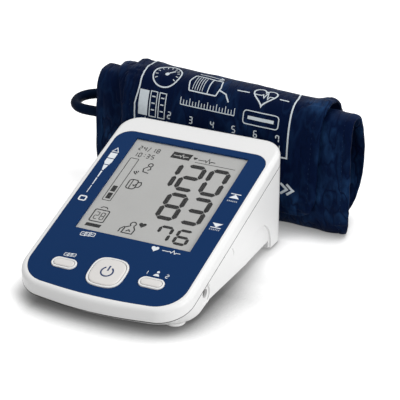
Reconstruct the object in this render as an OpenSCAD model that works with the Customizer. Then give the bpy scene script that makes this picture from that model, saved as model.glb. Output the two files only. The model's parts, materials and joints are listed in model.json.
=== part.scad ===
// Desktop upper-arm blood pressure monitor with its rolled cuff behind it.
// +X runs to the right across the monitor, +Y to the back, +Z up from the table.
// The origin is the middle of the floor rectangle that monitor and roll stand on.

/* [Housing] */
// Width of the housing
body_w = 106; // [98:1:116]
// Place of the rear wall, behind the face's pivot line
rear_y = 63; // [62:0.5:68]
// Gap between the battery bay's roof and the board
board_gap = 0.94; // [0.6:0.01:3]
// Slope of the face
face_tilt = 19.1; // [18.5:0.1:20.5]
// Length of the face from its pivot line down to the front corners
face_down = 83.6; // [83:0.2:88]
// Bow of the front edge
front_bow = 2.6; // [1:0.1:4]
// Depth of the upper shell below the face
parting = 8; // [8:0.5:10]
// Wall of both shells
wall = 2.2; // [1.8:0.1:2.6]
// Rounding of the face's edge
edge_r = 3; // [2:0.5:4]
// Corner radius at the front
front_r = 19; // [15:1:24]
// Corner radius at the rear
rear_r = 13; // [10:1:16]
// Height of the underside above the table
underside_h = 6.5; // [5:0.5:7]
// Height of the front lip above the table
lip_h = 1.8; // [1.2:0.2:2.6]
// How much rounder the lip's front corners are than the face's
lip_round = 6; // [0:1:8]
// Seam between the two shells
seam = 0.2; // [0.1:0.05:0.3]

/* [Face] */
// Width of the blue face panel
panel_w = 98.6; // [94:0.2:100]
// Top edge of the face panel
panel_top = 50.7; // [48:0.1:53]
// Bottom corners' edge of the face panel
panel_down = 79.3; // [78:0.1:80]
// Thickness of the face panel
panel_t = 1.2; // [0.8:0.1:1.5]
// Thickness of the plate under the face panel
plate_t = 2; // [1.6:0.1:2.2]
// Width of the display window
window_w = 73.4; // [66:0.2:76]
// Height of the display window
window_h = 80.5; // [74:0.5:84]
// Middle of the window, across
window_x = 0.6; // [0:0.1:1.2]
// Middle of the window, up the face
window_y = 5.5; // [4.5:0.1:6.5]

/* [Buttons] */
// Distance of the button row below the pivot line
button_down = 63; // [61:0.2:65]
// Outer width of the start button's collar
start_w = 22.2; // [18:0.2:24]
// Outer width of the pill buttons' collars
pill_w = 15.5; // [13:0.5:18]
// Outer height of the pill buttons' collars
pill_h = 7.7; // [7:0.1:9]
// Distance of the pill buttons from the middle
pill_x = 27.4; // [25:0.2:30]
// Wall of a collar
collar_t = 1.15; // [0.9:0.05:1.4]
// Height of the collars above the face
collar_top = 0.7; // [0.4:0.1:1]
// Travel of a button
button_travel = 0.7; // [0.4:0.1:0.8]

/* [Battery bay] */
// Diameter of a cell
cell_d = 14.2; // [13.5:0.1:14.4]
// Length of a cell with its nub
cell_l = 50.5; // [48:0.5:51]
// Inner length of the bay
bay_l = 55; // [54.5:0.5:57]
// Front end of the bay
bay_y = -19; // [-19:0.5:-18]
// Thickness of the battery door
door_t = 1.6; // [1.2:0.1:1.7]

/* [Cuff roll] */
// Height of the roll at its left end
roll_h_left = 83.8; // [76:0.2:92]
// Height of the roll at its right end
roll_h_right = 77.8; // [72:0.2:84]
// Half depth of the roll at its left end
roll_deep_left = 25.5; // [25:0.5:30]
// Half depth of the roll at its right end
roll_deep_right = 20.5; // [20:0.5:24]
// Step from one turn of the cloth to the next
turn_step = 3; // [2.8:0.1:3.4]
// Thickness of a cloth ply
ply_t = 0.6; // [0.4:0.05:0.7]
// Thickness of the empty bladder
bladder_t = 0.8; // [0.6:0.05:0.9]
// Left edge of the inner turns
inner_left = -84; // [-88:1:-80]
// Right edge of the middle turn
middle_right = 89; // [85:1:94]
// Left edge of the outer flap
flap_left = -62; // [-64:1:-58]
// Right edge of the outer flap
flap_right = 69; // [64:1:72]

/* [Hose] */
// Outer diameter of the hose
hose_d = 6.5; // [6:0.1:6.8]
// Length of the hank's straight runs
hank_run = 97.5; // [90:0.5:100]
// Radius of the hank's end bends
hank_r = 17; // [15:0.5:18]
// Step between the hank's two layers
hank_step = 7.2; // [7:0.1:7.6]
// Bore of the air socket
socket_bore = 6; // [5:0.2:7]

/* [Hidden] */
$fn = 48;

// The roll's middle line and the belly of its back, at its two ends
roll_mid_left = 92;
roll_mid_right = 86.5;
roll_bulge_left = 4;
roll_bulge_right = 2.5;
// The cloth starts at this angle low on the front, and sinks this far into the table's plane.
flap_angle = 220;
sink = 0.5;

// The footprint's middle, measured from the point under the face's pivot line.
centre_x = (inner_left + middle_right) / 2;
front_lean = 1.2;
front_y = edge_r * (cos(face_tilt) + sin(face_tilt) - 1)
    - (face_down + front_bow - front_lean) * cos(face_tilt);
back_y = roll_point(flap_left, 0, turn_step * flap_angle / 360)[1];
centre_y = (front_y + back_y) / 2;

// Colours
c_white = [0.93, 0.93, 0.92];
c_blue = [0.07, 0.19, 0.38];
c_navy = [0.07, 0.10, 0.22];
c_lcd = [0.74, 0.75, 0.74];
c_button = [0.92, 0.90, 0.88];
c_board = [0.10, 0.38, 0.20];
c_metal = [0.75, 0.75, 0.76];
c_dark = [0.12, 0.12, 0.13];

// Clearances
fit = 0.1;
slack = 0.25;
clear = 0.3;

// The battery bay, centred across the underside.
cell_pitch = cell_d + 0.8;
bay_w = 4 * cell_pitch + 2;
bay_wall = 1.2;
bay_roof = 0.8;
base_t = 2.4;
base_top = underside_h + base_t;
cell_h = underside_h + door_t + 0.2 + cell_d / 2;
bay_top = cell_h + cell_d / 2 + 0.3;

// The face is as high as the board over the bay's front end needs.
face_h = bay_top + bay_roof + board_gap + parting / cos(face_tilt) - (bay_y - bay_wall) * tan(face_tilt);

// The case screws stand at the four corners.
boss_r = 3.9;
pilot_r = 1.05;
screw_x = body_w / 2 - wall - boss_r - 0.8;
screw_rear = rear_y - 8;
screw_front = -32;

// Longer than any piece, for cuts that go right through
far = 120;

// Heights in the face's own frame, where z = 0 is the face
plate_z = -panel_t - plate_t;
board_t = 1.6;
board_z = -parting + 1.6 - board_t;
board_top = board_z + board_t;
glass_t = 2.6;
glass_z = -panel_t - fit - glass_t;
window_top = window_y + window_h / 2;
frame_wall = 2.8;
board_w = 2 * (screw_x - boss_r - 0.7);
board_down = 74;
board_up = window_top + frame_wall + 6.45;

// ---------------------------------------------------------------- frames and outlines

module on_desk() {
    translate([-centre_x, -centre_y, 0]) children();
}

// The face's frame, seen from the point under its pivot line
module from_desk() {
    translate([0, 0, face_h]) rotate([face_tilt, 0, 0]) children();
}

module on_face() {
    on_desk() from_desk() children();
}

function arc(x, y, r, a0, a1, steps = 12) =
    [for (k = [0:steps]) let (a = a0 + (a1 - a0) * k / steps) [x + r * cos(a), y + r * sin(a)]];

// A rounded rectangle whose bottom edge bows outwards.
function outline(half, top, down, r_top, r_down, bow) =
    let (flat = half - r_down, turn = atan(2 * bow / flat))
    concat(
        arc(half - r_top, top - r_top, r_top, 0, 90),
        arc(r_top - half, top - r_top, r_top, 90, 180),
        arc(-flat, r_down - down, r_down, 180, 270 - turn),
        [for (t = [-0.75:0.25:0.75]) [t * flat, -down - bow * (1 - t * t)]],
        arc(flat, r_down - down, r_down, 270 + turn, 360));

// A square with bulging sides, for the start button.
function squircle(w) =
    [for (a = [0:7.5:352.5]) let (r = w / 2 / pow(pow(abs(cos(a)), 3) + pow(abs(sin(a)), 3), 1 / 3))
        [r * cos(a), r * sin(a)]];

module pill(w, h) {
    square([w - h, h], center = true);
    for (side = [-1, 1]) translate([side * (w - h) / 2, 0]) circle(d = h);
}

module slab(z0, z1) {
    translate([0, 0, z0]) linear_extrude(z1 - z0) children();
}

module box(x, y, z) {
    translate([x[0], y[0], z[0]]) cube([x[1] - x[0], y[1] - y[0], z[1] - z[0]]);
}

module panel_shape(grow) {
    polygon(outline(panel_w / 2 + grow, panel_top + grow, panel_down + grow, 9.5 + grow,
        front_r - 2 + grow, front_bow - 0.8));
}

module window_shape(grow) {
    translate([window_x, window_y]) square([window_w + 2 * grow, window_h + 2 * grow], center = true);
}

// Each button's outline, grown from its collar's outer edge.
module start_shape(grow) {
    translate([0, -button_down]) polygon(squircle(start_w + 2 * grow));
}

module pill_shape(side, grow) {
    translate([side * pill_x, -button_down - 0.25]) pill(pill_w + 2 * grow, pill_h + 2 * grow);
}

module button_shapes(grow) {
    start_shape(grow);
    for (side = [-1, 1]) pill_shape(side, grow);
}

// ---------------------------------------------------------------- housing

// The whole housing as one convex wedge, drawn in by inset on every side.
module wedge(inset) {
    rim_top = (rear_y - edge_r * sin(face_tilt)) / cos(face_tilt);
    seam_top = (rear_y - parting * sin(face_tilt)) / cos(face_tilt);
    hull() {
        on_face() {
            for (a = [0:15:90])
                translate([0, 0, -inset - edge_r * (1 - sin(a))])
                    linear_extrude(0.01)
                        polygon(outline(body_w / 2 - inset - edge_r * (1 - cos(a)),
                            rim_top - inset - edge_r * (1 - cos(a)),
                            face_down - front_lean - inset - edge_r * (1 - cos(a)),
                            rear_r - inset - edge_r * (1 - cos(a)),
                            front_r - inset - edge_r * (1 - cos(a)), front_bow));
            translate([0, 0, -parting])
                linear_extrude(0.01)
                    polygon(outline(body_w / 2 - inset, seam_top - inset, face_down - inset,
                        rear_r - inset, front_r - inset, front_bow));
        }
        on_desk()
            translate([0, 0, lip_h + inset])
                linear_extrude(0.01)
                    polygon(outline(body_w / 2 - inset, rear_y - inset, lip_down - inset,
                        rear_r - inset, front_r + lip_round - inset, front_bow));
    }
}

// Where the front lip meets the table side of the housing.
lip_down = (face_down - front_bow) * cos(face_tilt) - 3.4;

function seam_height(y) =
    face_h + (y - parting * sin(face_tilt)) * tan(face_tilt) - parting * cos(face_tilt);

module at_case_screws() {
    for (side = [-1, 1], y = [screw_front, screw_rear])
        translate([side * screw_x, y, 0]) children();
}

module upper_shell() {
    color(c_white) {
        difference() {
            union() {
                difference() {
                    intersection() {
                        wedge(0);
                        on_face() box([-body_w, body_w], [-far, far], [-parting, 1]);
                    }
                    intersection() {
                        wedge(wall);
                        on_face() box([-body_w, body_w], [-far, far], [-parting - 1, plate_z]);
                    }
                    on_face() slab(-panel_t, 1) panel_shape(fit);
                }
                on_face() slab(-panel_t - 0.1, collar_top) button_shapes(0);
            }
            on_face() slab(plate_z - 1, 1) {
                button_shapes(-collar_t);
                window_shape(frame_wall + fit);
            }
        }
        on_desk() for (side = [-1, 1]) {
            case_boss(side * screw_x, screw_front);
            case_boss(side * screw_x, screw_rear);
        }
        on_face() at_board_posts() difference() {
            slab(board_top, plate_z + 0.1) circle(r = 2.4);
            slab(board_top - 1, plate_z - 0.5) circle(r = pilot_r);
        }
    }
}

// A boss that hangs from the upper shell's plate down to the seam.
module case_boss(x, y) {
    difference() {
        intersection() {
            translate([x, y, 0]) cylinder(r = boss_r, h = far);
            from_desk() slab(-parting, plate_z + 0.1) square(2 * far, center = true);
        }
        intersection() {
            translate([x, y, 0]) cylinder(r = pilot_r, h = far);
            from_desk() slab(-parting - 1, plate_z - 0.5) square(2 * far, center = true);
        }
    }
}

// Posts that carry the board stand clear of the display and the buttons.
post_x = board_w / 2 - 3.4;
module at_board_posts() {
    for (side = [-1, 1], y = [3.6 - board_down, board_up - 3]) translate([side * post_x, y, 0]) children();
}

door_gap = 0.3;
door_x = bay_w / 2 + 2;
door_y0 = bay_y - 2;
door_y1 = bay_y + bay_l + 2;
tab_x = 20;
tab_w = 8;
tab_l = 2.3;

// Pillars under the rear corners and the arch before them.
pillar_y = rear_y - 22.3;
pillar_x = 37;
rear_pad_t = 0.8;
ramp_y = [-60, -40];

// The power jack's and the air socket's places in the side walls.
jack_y = -45;
jack_h = 12;
jack_bore = 5.3;
socket_y = 22;
socket_h = 22;
socket_l = 15;

module under_cut(x, y0, y1, rise) {
    translate([-x, 0, 0]) rotate([90, 0, 90]) linear_extrude(2 * x)
        polygon([[y0, -5], [y0, lip_h], [ramp_y[1], underside_h + rise], [y1, underside_h + rise], [y1, -5]]);
}

// The space inside the lower shell.
module lower_space() {
    difference() {
        wedge(wall);
        on_desk() under_cut(body_w, ramp_y[0] - 4, rear_y + 9, base_t);
    }
}

module lower_shell() {
    color(c_white) difference() {
        union() {
            difference() {
                intersection() {
                    wedge(0);
                    on_face() box([-body_w, body_w], [-far, far], [-far, -parting - seam]);
                }
                lower_space();
            }
            on_desk() {
                box([-bay_w / 2 - bay_wall, bay_w / 2 + bay_wall],
                    [bay_y - bay_wall, bay_y + bay_l + bay_wall],
                    [underside_h + 0.5, bay_top + bay_roof]);
                intersection() {
                    union() {
                        at_case_screws() cylinder(r = boss_r, h = far);
                        socket_seat(socket_r + 1.6, -5);
                        jack_seat();
                    }
                    inner_wedge();
                }
                for (side = [-1, 1]) translate([side * 44.5, pillar_y + 8, rear_pad_t])
                    box([-7.4, 3.6], [-7.9, 9], [0, underside_h]);
            }
        }
        on_desk() {
            under_cut(body_w, ramp_y[0], pillar_y, 0);
            box([-pillar_x, pillar_x], [pillar_y - 1, rear_y + 9], [-5, underside_h]);
            box([-body_w, body_w], [pillar_y - 1, rear_y + 9], [-5, rear_pad_t]);
            box([-bay_w / 2, bay_w / 2], [bay_y, bay_y + bay_l], [-1, bay_top]);
            box([-door_x, door_x], [door_y0, door_y1], [-1, underside_h + door_t + 0.1]);
            for (side = [-1, 1]) translate([side * tab_x, 0, underside_h])
                box([-tab_w / 2 - 0.4, tab_w / 2 + 0.4], [door_y0 - 3, bay_y + 0.2], [0.5, 3.1]);
            box([-7, 7], [door_y1 - 0.1, door_y1 + 2.4], [-1, underside_h + 1]);
            for (side = [-1, 1]) side_hollow(side);
            at_case_screws() translate([0, 0, -1]) cylinder(r = 1.4, h = far);
            for (side = [-1, 1], y = [screw_front, screw_rear])
                translate([side * screw_x, y, -5]) cylinder(r = head_r + clear, h = 5 + head_seat(y));
            translate([body_w / 2 - wall - 8, jack_y, jack_h]) rotate([0, 90, 0])
                cylinder(d = jack_bore, h = wall + 12);
            translate([body_w / 2 - 0.5, jack_y, jack_h]) rotate([0, 90, 0]) cylinder(r = 5.8, h = 5);
            translate([-body_w / 2 - 1, socket_y, socket_h]) rotate([0, 90, 0])
                cylinder(r = socket_r + fit, h = socket_l + 2);
        }
    }
}

head_r = 2.4;
head_t = 1.8;
function head_seat(y) = y > 0 ? underside_h - 1 : underside_h + head_t + 0.3;

// The solid inner space that bosses may fill, a little into the walls.
module inner_wedge() {
    translate([centre_x, centre_y, 0]) intersection() {
        wedge(0.8);
        on_face() box([-body_w, body_w], [-far, far], [-far, -parting - seam]);
    }
}

// A shallow hollow in the side wall, deepest at its curved rear edge.
module side_hollow(side) {
    hollow_r = 17;
    hollow_deep = 1.6;
    intersection() {
        translate([side * (body_w / 2 - 2), rear_y - 38, 5]) rotate([0, 90 * side, 0])
            cylinder(r = hollow_r, h = 4, $fn = 96);
        translate([0, 0, -1]) linear_extrude(40)
            polygon([[side * (body_w / 2 - hollow_deep), rear_y - 16], [side * (body_w / 2 + 1), rear_y - 16],
                [side * (body_w / 2 + 1), rear_y - 70], [side * (body_w / 2), rear_y - 60]]);
    }
}

module face_panel() {
    color(c_blue) on_face() difference() {
        slab(-panel_t, 0) panel_shape(0);
        slab(-panel_t - 1, 1) {
            window_shape(0);
            button_shapes(fit);
        }
    }
}

// ---------------------------------------------------------------- display

module display_window() {
    color([0.85, 0.88, 0.9, 0.4]) on_face() slab(-panel_t, 0) window_shape(-fit);
}

module display_glass() {
    color(c_lcd) on_face() slab(glass_z, glass_z + glass_t) window_shape(1);
}

module display_frame() {
    color(c_white) on_face() difference() {
        slab(board_top + fit, -panel_t - fit) window_shape(frame_wall);
        slab(board_top - 1, 1) window_shape(1 + fit);
    }
}

module contact_strips() {
    strip = 2.2;
    color("dimgray") on_face()
        for (y = [window_y - window_h / 2 + strip, window_top - strip])
            translate([window_x, y, board_top + fit])
                box([-window_w / 2 + 2, window_w / 2 - 2], [-strip / 2, strip / 2],
                    [0, glass_z - board_top - 2 * fit]);
}

// ---------------------------------------------------------------- buttons

cap_top = collar_top + 0.3;
flange_top = plate_z - fit;
flange_t = 0.9;
flange_out = 0.2;
switch_gap = 0.15;
plunger_top = flange_top - flange_t - button_travel - switch_gap;

module start_button() {
    color(c_button) on_face() {
        slab(flange_top - 0.1, cap_top - 0.3) start_shape(-collar_t - slack);
        slab(cap_top - 0.4, cap_top) start_shape(-collar_t - slack - 0.35);
        slab(flange_top - flange_t, flange_top) start_shape(flange_out);
    }
}

module pill_button(side) {
    color(c_button) on_face() {
        slab(flange_top - 0.1, cap_top - 0.3) pill_shape(side, -collar_t - slack);
        slab(cap_top - 0.4, cap_top) pill_shape(side, -collar_t - slack - 0.3);
        slab(flange_top - flange_t, flange_top) pill_shape(side, flange_out);
    }
}

module memory_button() {
    pill_button(-1);
}

module user_button() {
    pill_button(1);
}

module button_switches() {
    color(c_dark) on_face() for (x = [-pill_x, 0, pill_x]) translate([x, -button_down, 0]) {
        slab(board_top, plunger_top - 0.4) square(5.6, center = true);
        slab(board_top + 0.1, plunger_top) circle(r = 1.6);
    }
}

// ---------------------------------------------------------------- board and air parts

module main_board() {
    color(c_board) on_face() difference() {
        box([-board_w / 2, board_w / 2], [-board_down, board_up], [board_z, board_top]);
        at_board_posts() slab(board_z - 1, board_top + 1) circle(r = 1.3);
    }
}

module board_screws() {
    color(c_metal) on_face() at_board_posts() {
        slab(board_z - 1.2, board_z) circle(r = 2.2);
        slab(board_z - 0.1, board_top + 1.6) circle(r = 0.95);
    }
}

// The air parts lie in the tall space behind the battery bay.
air_y = (bay_y + bay_l + bay_wall + rear_y - wall) / 2;
motor_r = 9.2;
motor_x = [-34, -7];
head_x = [-6.9, 12];
air_h = base_top + motor_r + 0.6;
manifold = [8, 44];
line_h = 37;
valve_x = screw_x - boss_r - 8.2;
tube_r = 2;
nozzle_r = 1.2;
sensor_at = [8, 26];
drop = board_z - 5.5;

module lying(x0, x1, r) {
    translate([x0, 0, 0]) rotate([0, 90, 0]) cylinder(r = r, h = x1 - x0);
}

module pump_motor() {
    color(c_metal) on_desk() translate([0, air_y, air_h]) {
        lying(motor_x[0], motor_x[1], motor_r);
        lying(motor_x[0] - 1.8, motor_x[0] + 0.1, 3);
        box([motor_x[0] + 2, motor_x[1] - 2], [-6, 6], [-motor_r - 0.6, -motor_r + 1]);
    }
}

module pump_head() {
    color(c_dark) on_desk() translate([0, air_y, air_h]) {
        lying(head_x[0], head_x[1], motor_r);
        box([head_x[0] + 1, head_x[1] - 1], [-5, 5], [-motor_r - 0.6, 0]);
        translate([manifold[0], 0, 0]) cylinder(r = nozzle_r, h = motor_r + 2);
    }
}

module release_valve() {
    color(c_metal) on_desk() translate([valve_x, air_y, base_top]) {
        box([-6.5, 6.5], [-6.5, 6.5], [0, 17]);
        translate([0, 0, 16]) cylinder(r = 3.2, h = 2);
        cylinder(r = nozzle_r, h = 21);
    }
}

module air_manifold() {
    color("whitesmoke") on_desk() translate([manifold[0], air_y, line_h]) {
        box([-3.5, 3.5], [-3.5, 3.5], [-3.5, 3.5]);
        translate([0, 0, -5.8]) cylinder(r = nozzle_r, h = 6);
        lying(-5.5, 5.5, nozzle_r);
        rotate([90, 0, 0]) cylinder(r = nozzle_r, h = 5.5);
    }
}

module pressure_sensor() {
    color(c_dark) on_face() translate([sensor_at[0], sensor_at[1], 0]) {
        box([-4, 4], [-4, 4], [board_z - 5, board_z]);
        translate([0, 4, drop + 2.5]) rotate([-90, 0, 0]) cylinder(r = nozzle_r, h = 2.2);
    }
}

// Places on the sloping board, in the desk's frame.
function off_face(p) = [p[0],
    p[1] * cos(face_tilt) - p[2] * sin(face_tilt),
    face_h + p[1] * sin(face_tilt) + p[2] * cos(face_tilt)];

socket_barb = [-body_w / 2 + socket_l - 2.5, socket_y, socket_h + 9];
sensor_mouth = off_face([sensor_at[0], sensor_at[1] + 4.2, drop + 2.5]);
tube_lines = [
    [[manifold[0], air_y, air_h + motor_r + 0.2], [manifold[0], air_y, line_h - 3.7]],
    [[manifold[0] + 3.7, air_y, line_h], [valve_x, air_y, line_h], [valve_x, air_y, base_top + 18.3]],
    [[manifold[0] - 3.7, air_y, line_h], [socket_barb[0], air_y, line_h],
        [socket_barb[0], socket_y, line_h], [socket_barb[0], socket_y, socket_h + 6]],
    [[manifold[0], air_y - 3.7, line_h], [manifold[0], air_y - 7.5, line_h],
        off_face([sensor_at[0], sensor_at[1] + 8.5, drop + 2.5]), sensor_mouth]];

module air_tubes() {
    color("gainsboro") on_desk() for (line = tube_lines)
        hose(bent(line, 2), tube_r, 10, [0.58, 0.58, 0.58], nozzle_r + 0.15);
}

socket_r = 4.6;
module socket_seat(r, extra) {
    translate([-body_w / 2 + 0.4, socket_y, socket_h]) lying(0, socket_l + extra, r);
}

module air_socket() {
    color(c_dark) on_desk() translate([-body_w / 2, socket_y, socket_h]) difference() {
        union() {
            lying(0.2, socket_l, socket_r);
            translate([socket_l - 2.5, 0, 0]) cylinder(r = nozzle_r, h = 9);
        }
        lying(-1, socket_l - 4.5, socket_bore / 2);
        translate([socket_l - 2.5, 0, 0]) lying(-3, 0.4, 0.6);
    }
}

module jack_seat() {
    box([body_w / 2 - wall - 7.6, body_w / 2 - wall + 1], [jack_y - 5.4, jack_y + 5.4], [0, jack_h - 3.5]);
}

module power_jack() {
    color(c_dark) on_desk() translate([body_w / 2 - wall - 0.1, jack_y, jack_h]) {
        difference() {
            union() {
                lying(-7.5, 0, 3.4);
                box([-7.5, -1], [-3.4, 3.4], [-3.4, 3.4]);
            }
            lying(-6, 1, 2.2);
        }
        lying(-6.5, -0.6, 0.65);
    }
}

// Thin leads from the pump, the valve and the battery bay to the board.
lead_r = 0.6;
module lead(points) {
    hose(bent(points, 3), lead_r, 6, [0.58, 0.58, 0.58]);
}

module wire_leads() {
    end_z = board_z - 0.5;
    lead_y = board_up - 8;
    color("firebrick") on_desk() for (side = [-1, 1]) {
        lead([[motor_x[0] - 1.9, air_y + side * 1.4, air_h], [motor_x[0] - 5.2, air_y + side * 1.4, air_h],
            [motor_x[0] - 4.4, air_y - 4 + side, air_h + 7],
            [motor_x[0] - 1 + side * 1.2, air_y - 6, line_h - 4],
            off_face([motor_x[0] + side * 1.2, board_up - 14, end_z])]);
        lead([[valve_x + 6.6, air_y + side * 2, base_top + 9],
            [valve_x + 9.8, air_y + side * 2, base_top + 9],
            [valve_x + 9.8, air_y + side * 2, line_h + 2], off_face([38 + side * 1.2, lead_y, end_z])]);
        lead([[side * (bay_w / 2 + bay_wall + 0.1), bay_y + 8, bay_top - 4],
            [side * (bay_w / 2 + bay_wall + 3.3), bay_y + 8, bay_top - 4],
            [side * (bay_w / 2 + bay_wall + 3.3), bay_y + 14, bay_top + 4], off_face([side * 36, 4, end_z])]);
    }
}

// ---------------------------------------------------------------- battery bay

contact_t = 0.5;
spring_l = bay_l - cell_l - 2 * contact_t - 0.4;
nub_l = 1;

// Cells lie turned about in their row: spring is 1 at the front and -1 at the rear.
module in_bay(k) {
    spring = k % 2 == 1 ? 1 : -1;
    on_desk() translate([(k - 2.5) * cell_pitch, bay_y + bay_l / 2, cell_h])
        rotate([0, 0, spring > 0 ? 0 : 180]) children();
}

module battery_cell(k) {
    start = -bay_l / 2 + contact_t + spring_l + 0.2;
    color("darkgoldenrod") in_bay(k) translate([0, start, 0]) rotate([-90, 0, 0]) {
        cylinder(d = cell_d, h = cell_l - nub_l);
        cylinder(r = 2.7, h = cell_l);
    }
}

module battery_cell_1() { battery_cell(1); }
module battery_cell_2() { battery_cell(2); }
module battery_cell_3() { battery_cell(3); }
module battery_cell_4() { battery_cell(4); }

module battery_contacts() {
    color(c_metal) for (k = [1:4]) in_bay(k) for (end = [-1, 1])
        translate([0, end * (bay_l / 2 - contact_t / 2 - 0.1), 0])
            cube([11, contact_t, 11], center = true);
}

module battery_springs() {
    color(c_metal) for (k = [1:4]) in_bay(k)
        translate([0, -bay_l / 2 + contact_t + 0.1, 0]) rotate([-90, 0, 0])
            cylinder(r1 = 4.4, r2 = 2.8, h = spring_l);
}

module battery_door() {
    color(c_white) on_desk() {
        difference() {
            box([-door_x + door_gap, door_x - door_gap], [door_y0 + door_gap, door_y1 - door_gap],
                [underside_h, underside_h + door_t]);
            for (k = [-3:3]) translate([k * 4, door_y1 - 9, underside_h - 0.1])
                box([-0.7, 0.7], [-4, 4], [0, 0.5]);
        }
        for (side = [-1, 1]) translate([side * tab_x, door_y0 + door_gap, underside_h])
            box([-tab_w / 2, tab_w / 2], [-tab_l, 1], [0.7, door_t - 0.1]);
    }
}

// ---------------------------------------------------------------- feet and screws

front_foot = [body_w / 2 - 10, lip_down * -1 + 11];

module front_foot_pad(side) {
    color(c_white) on_desk() translate([side * front_foot[0], front_foot[1], 0])
        rotate_extrude() polygon([[0, 0], [5, 0], [5.9, 0.7], [5.9, lip_h - fit], [0, lip_h - fit]]);
}

module rear_foot_pad(side) {
    color("gray") on_desk() translate([side * 44.5, pillar_y + 6.6, 0])
        cylinder(r = 4.4, h = rear_pad_t - fit);
}

module front_foot_left() { front_foot_pad(-1); }
module front_foot_right() { front_foot_pad(1); }
module rear_foot_left() { rear_foot_pad(-1); }
module rear_foot_right() { rear_foot_pad(1); }

module case_screws() {
    color(c_metal) on_desk() for (side = [-1, 1], y = [screw_front, screw_rear])
        translate([side * screw_x, y, 0]) {
            translate([0, 0, head_seat(y) - head_t]) cylinder(r = head_r, h = head_t - fit);
            translate([0, 0, head_seat(y) - 1]) cylinder(r = 1, h = seam_height(y) - head_seat(y) + 3);
        }
}

// ---------------------------------------------------------------- rolled cuff

// The roll is a tall oval that narrows to the right. The cloth winds inwards from the
// flap's end, low on the front, over the top, down the back and under.
roll_turn = 864;
station_step = 18;
flap_corner = 14;

function mix(a, b, f) = a + (b - a) * f;
function power(v, p) = sign(v) * pow(abs(v), p);
function along(x) = (x - inner_left) / (middle_right - inner_left);

// A point of the roll at x, at angle a round it, depth millimetres under its skin.
function roll_point(x, a, depth) =
    let (f = along(x),
        tall = mix(roll_h_left, roll_h_right, f) / 2 + 2.1,
        deep = mix(roll_deep_left, roll_deep_right, f),
        mid = mix(roll_mid_left, roll_mid_right, f),
        bulge = mix(roll_bulge_left, roll_bulge_right, f),
        base = tall - turn_step * (flap_angle + 90) / 360 - sink)
    [x, mid + (deep - depth) * power(cos(a), 0.75) + bulge * pow(cos(a), 2),
        max(0, base + (tall - depth) * power(sin(a), 0.9))];

// The strip's two edges wander as it winds: [turned angle, left edge, right edge].
edges = [[0, flap_left, flap_right], [200, flap_left, flap_right + 3],
    [380, flap_left, middle_right], [560, inner_left + 6, middle_right - 3],
    [740, inner_left, middle_right - 19], [900, inner_left, middle_right - 21]];
function edge_at(s, side) =
    let (k = s >= 740 ? 4 : s >= 560 ? 3 : s >= 380 ? 2 : s >= 200 ? 1 : 0,
        f = (s - edges[k][0]) / (edges[k + 1][0] - edges[k][0]))
    mix(edges[k][side], edges[k + 1][side], f * f * (3 - 2 * f));

// How far the flap's rounded corners draw the edge in near its end.
function corner_in(s) =
    let (reach = s * 0.5) reach >= flap_corner ? 0
        : flap_corner - sqrt(flap_corner * flap_corner - pow(flap_corner - reach, 2));

stations = concat([0, 3, 8, 15, 26], [for (s = [40:station_step:roll_turn]) s]);

// A closed sheet that follows the winding between two depths.
module wound_sheet(stops, depth, thick, margin, columns) {
    n = len(stops);
    m = columns + 1;
    points = [for (layer = [0, 1], s = stops, j = [0:columns])
        let (left = edge_at(s, 1) + corner_in(s) + margin,
            right = edge_at(s, 2) - corner_in(s) - margin)
        roll_point(mix(left, right, j / columns), flap_angle - s,
            turn_step * s / 360 + depth + layer * thick)];
    function at(layer, i, j) = layer * n * m + i * m + j;
    function quad(a, b, c, d) = [[a, b, c], [a, c, d]];
    skin = [for (layer = [0, 1], i = [0:n - 2], j = [0:columns - 1])
        let (q = [at(layer, i, j), at(layer, i + 1, j), at(layer, i + 1, j + 1), at(layer, i, j + 1)])
        each layer == 1 ? quad(q[0], q[1], q[2], q[3]) : quad(q[3], q[2], q[1], q[0])];
    ends = [for (i = [0, n - 1], j = [0:columns - 1])
        let (q = [at(0, i, j), at(0, i, j + 1), at(1, i, j + 1), at(1, i, j)])
        each i == 0 ? quad(q[3], q[2], q[1], q[0]) : quad(q[0], q[1], q[2], q[3])];
    sides = [for (j = [0, columns], i = [0:n - 2])
        let (q = [at(0, i, j), at(0, i + 1, j), at(1, i + 1, j), at(1, i, j)])
        each j == 0 ? quad(q[0], q[1], q[2], q[3]) : quad(q[3], q[2], q[1], q[0])];
    polyhedron(points, concat(skin, ends, sides), convexity = 8);
}

ply_gap = 0.1;
bladder_in = ply_t + ply_gap;
inner_ply_in = bladder_in + bladder_t + ply_gap;

module cuff_outer_ply() {
    color(c_navy) on_desk() wound_sheet(stations, 0, ply_t, 0, 5);
}

module cuff_bladder() {
    color([0.2, 0.2, 0.24]) on_desk()
        wound_sheet([for (s = [400:station_step:836]) s], bladder_in, bladder_t, 10, 4);
}

module cuff_inner_ply() {
    color([0.05, 0.08, 0.18]) on_desk() wound_sheet(stations, inner_ply_in, ply_t, 0, 5);
}

module cuff_hook_patch() {
    color([0.1, 0.12, 0.2]) on_desk()
        wound_sheet([for (s = [22:station_step:94]) s], inner_ply_in + ply_t + 0.05, 0.45, 12, 4);
}

// ---------------------------------------------------------------- hose

port_at = [inner_left + 1, 83.4, 48.5];
port_r = 4;
port_l = 15;

module cuff_port() {
    color(c_dark) on_desk() translate(port_at) difference() {
        union() {
            lying(0, port_l, port_r);
            lying(port_l - 3, port_l, port_r + 0.3);
        }
        lying(-1, port_l - 3, 2);
    }
}

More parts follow.
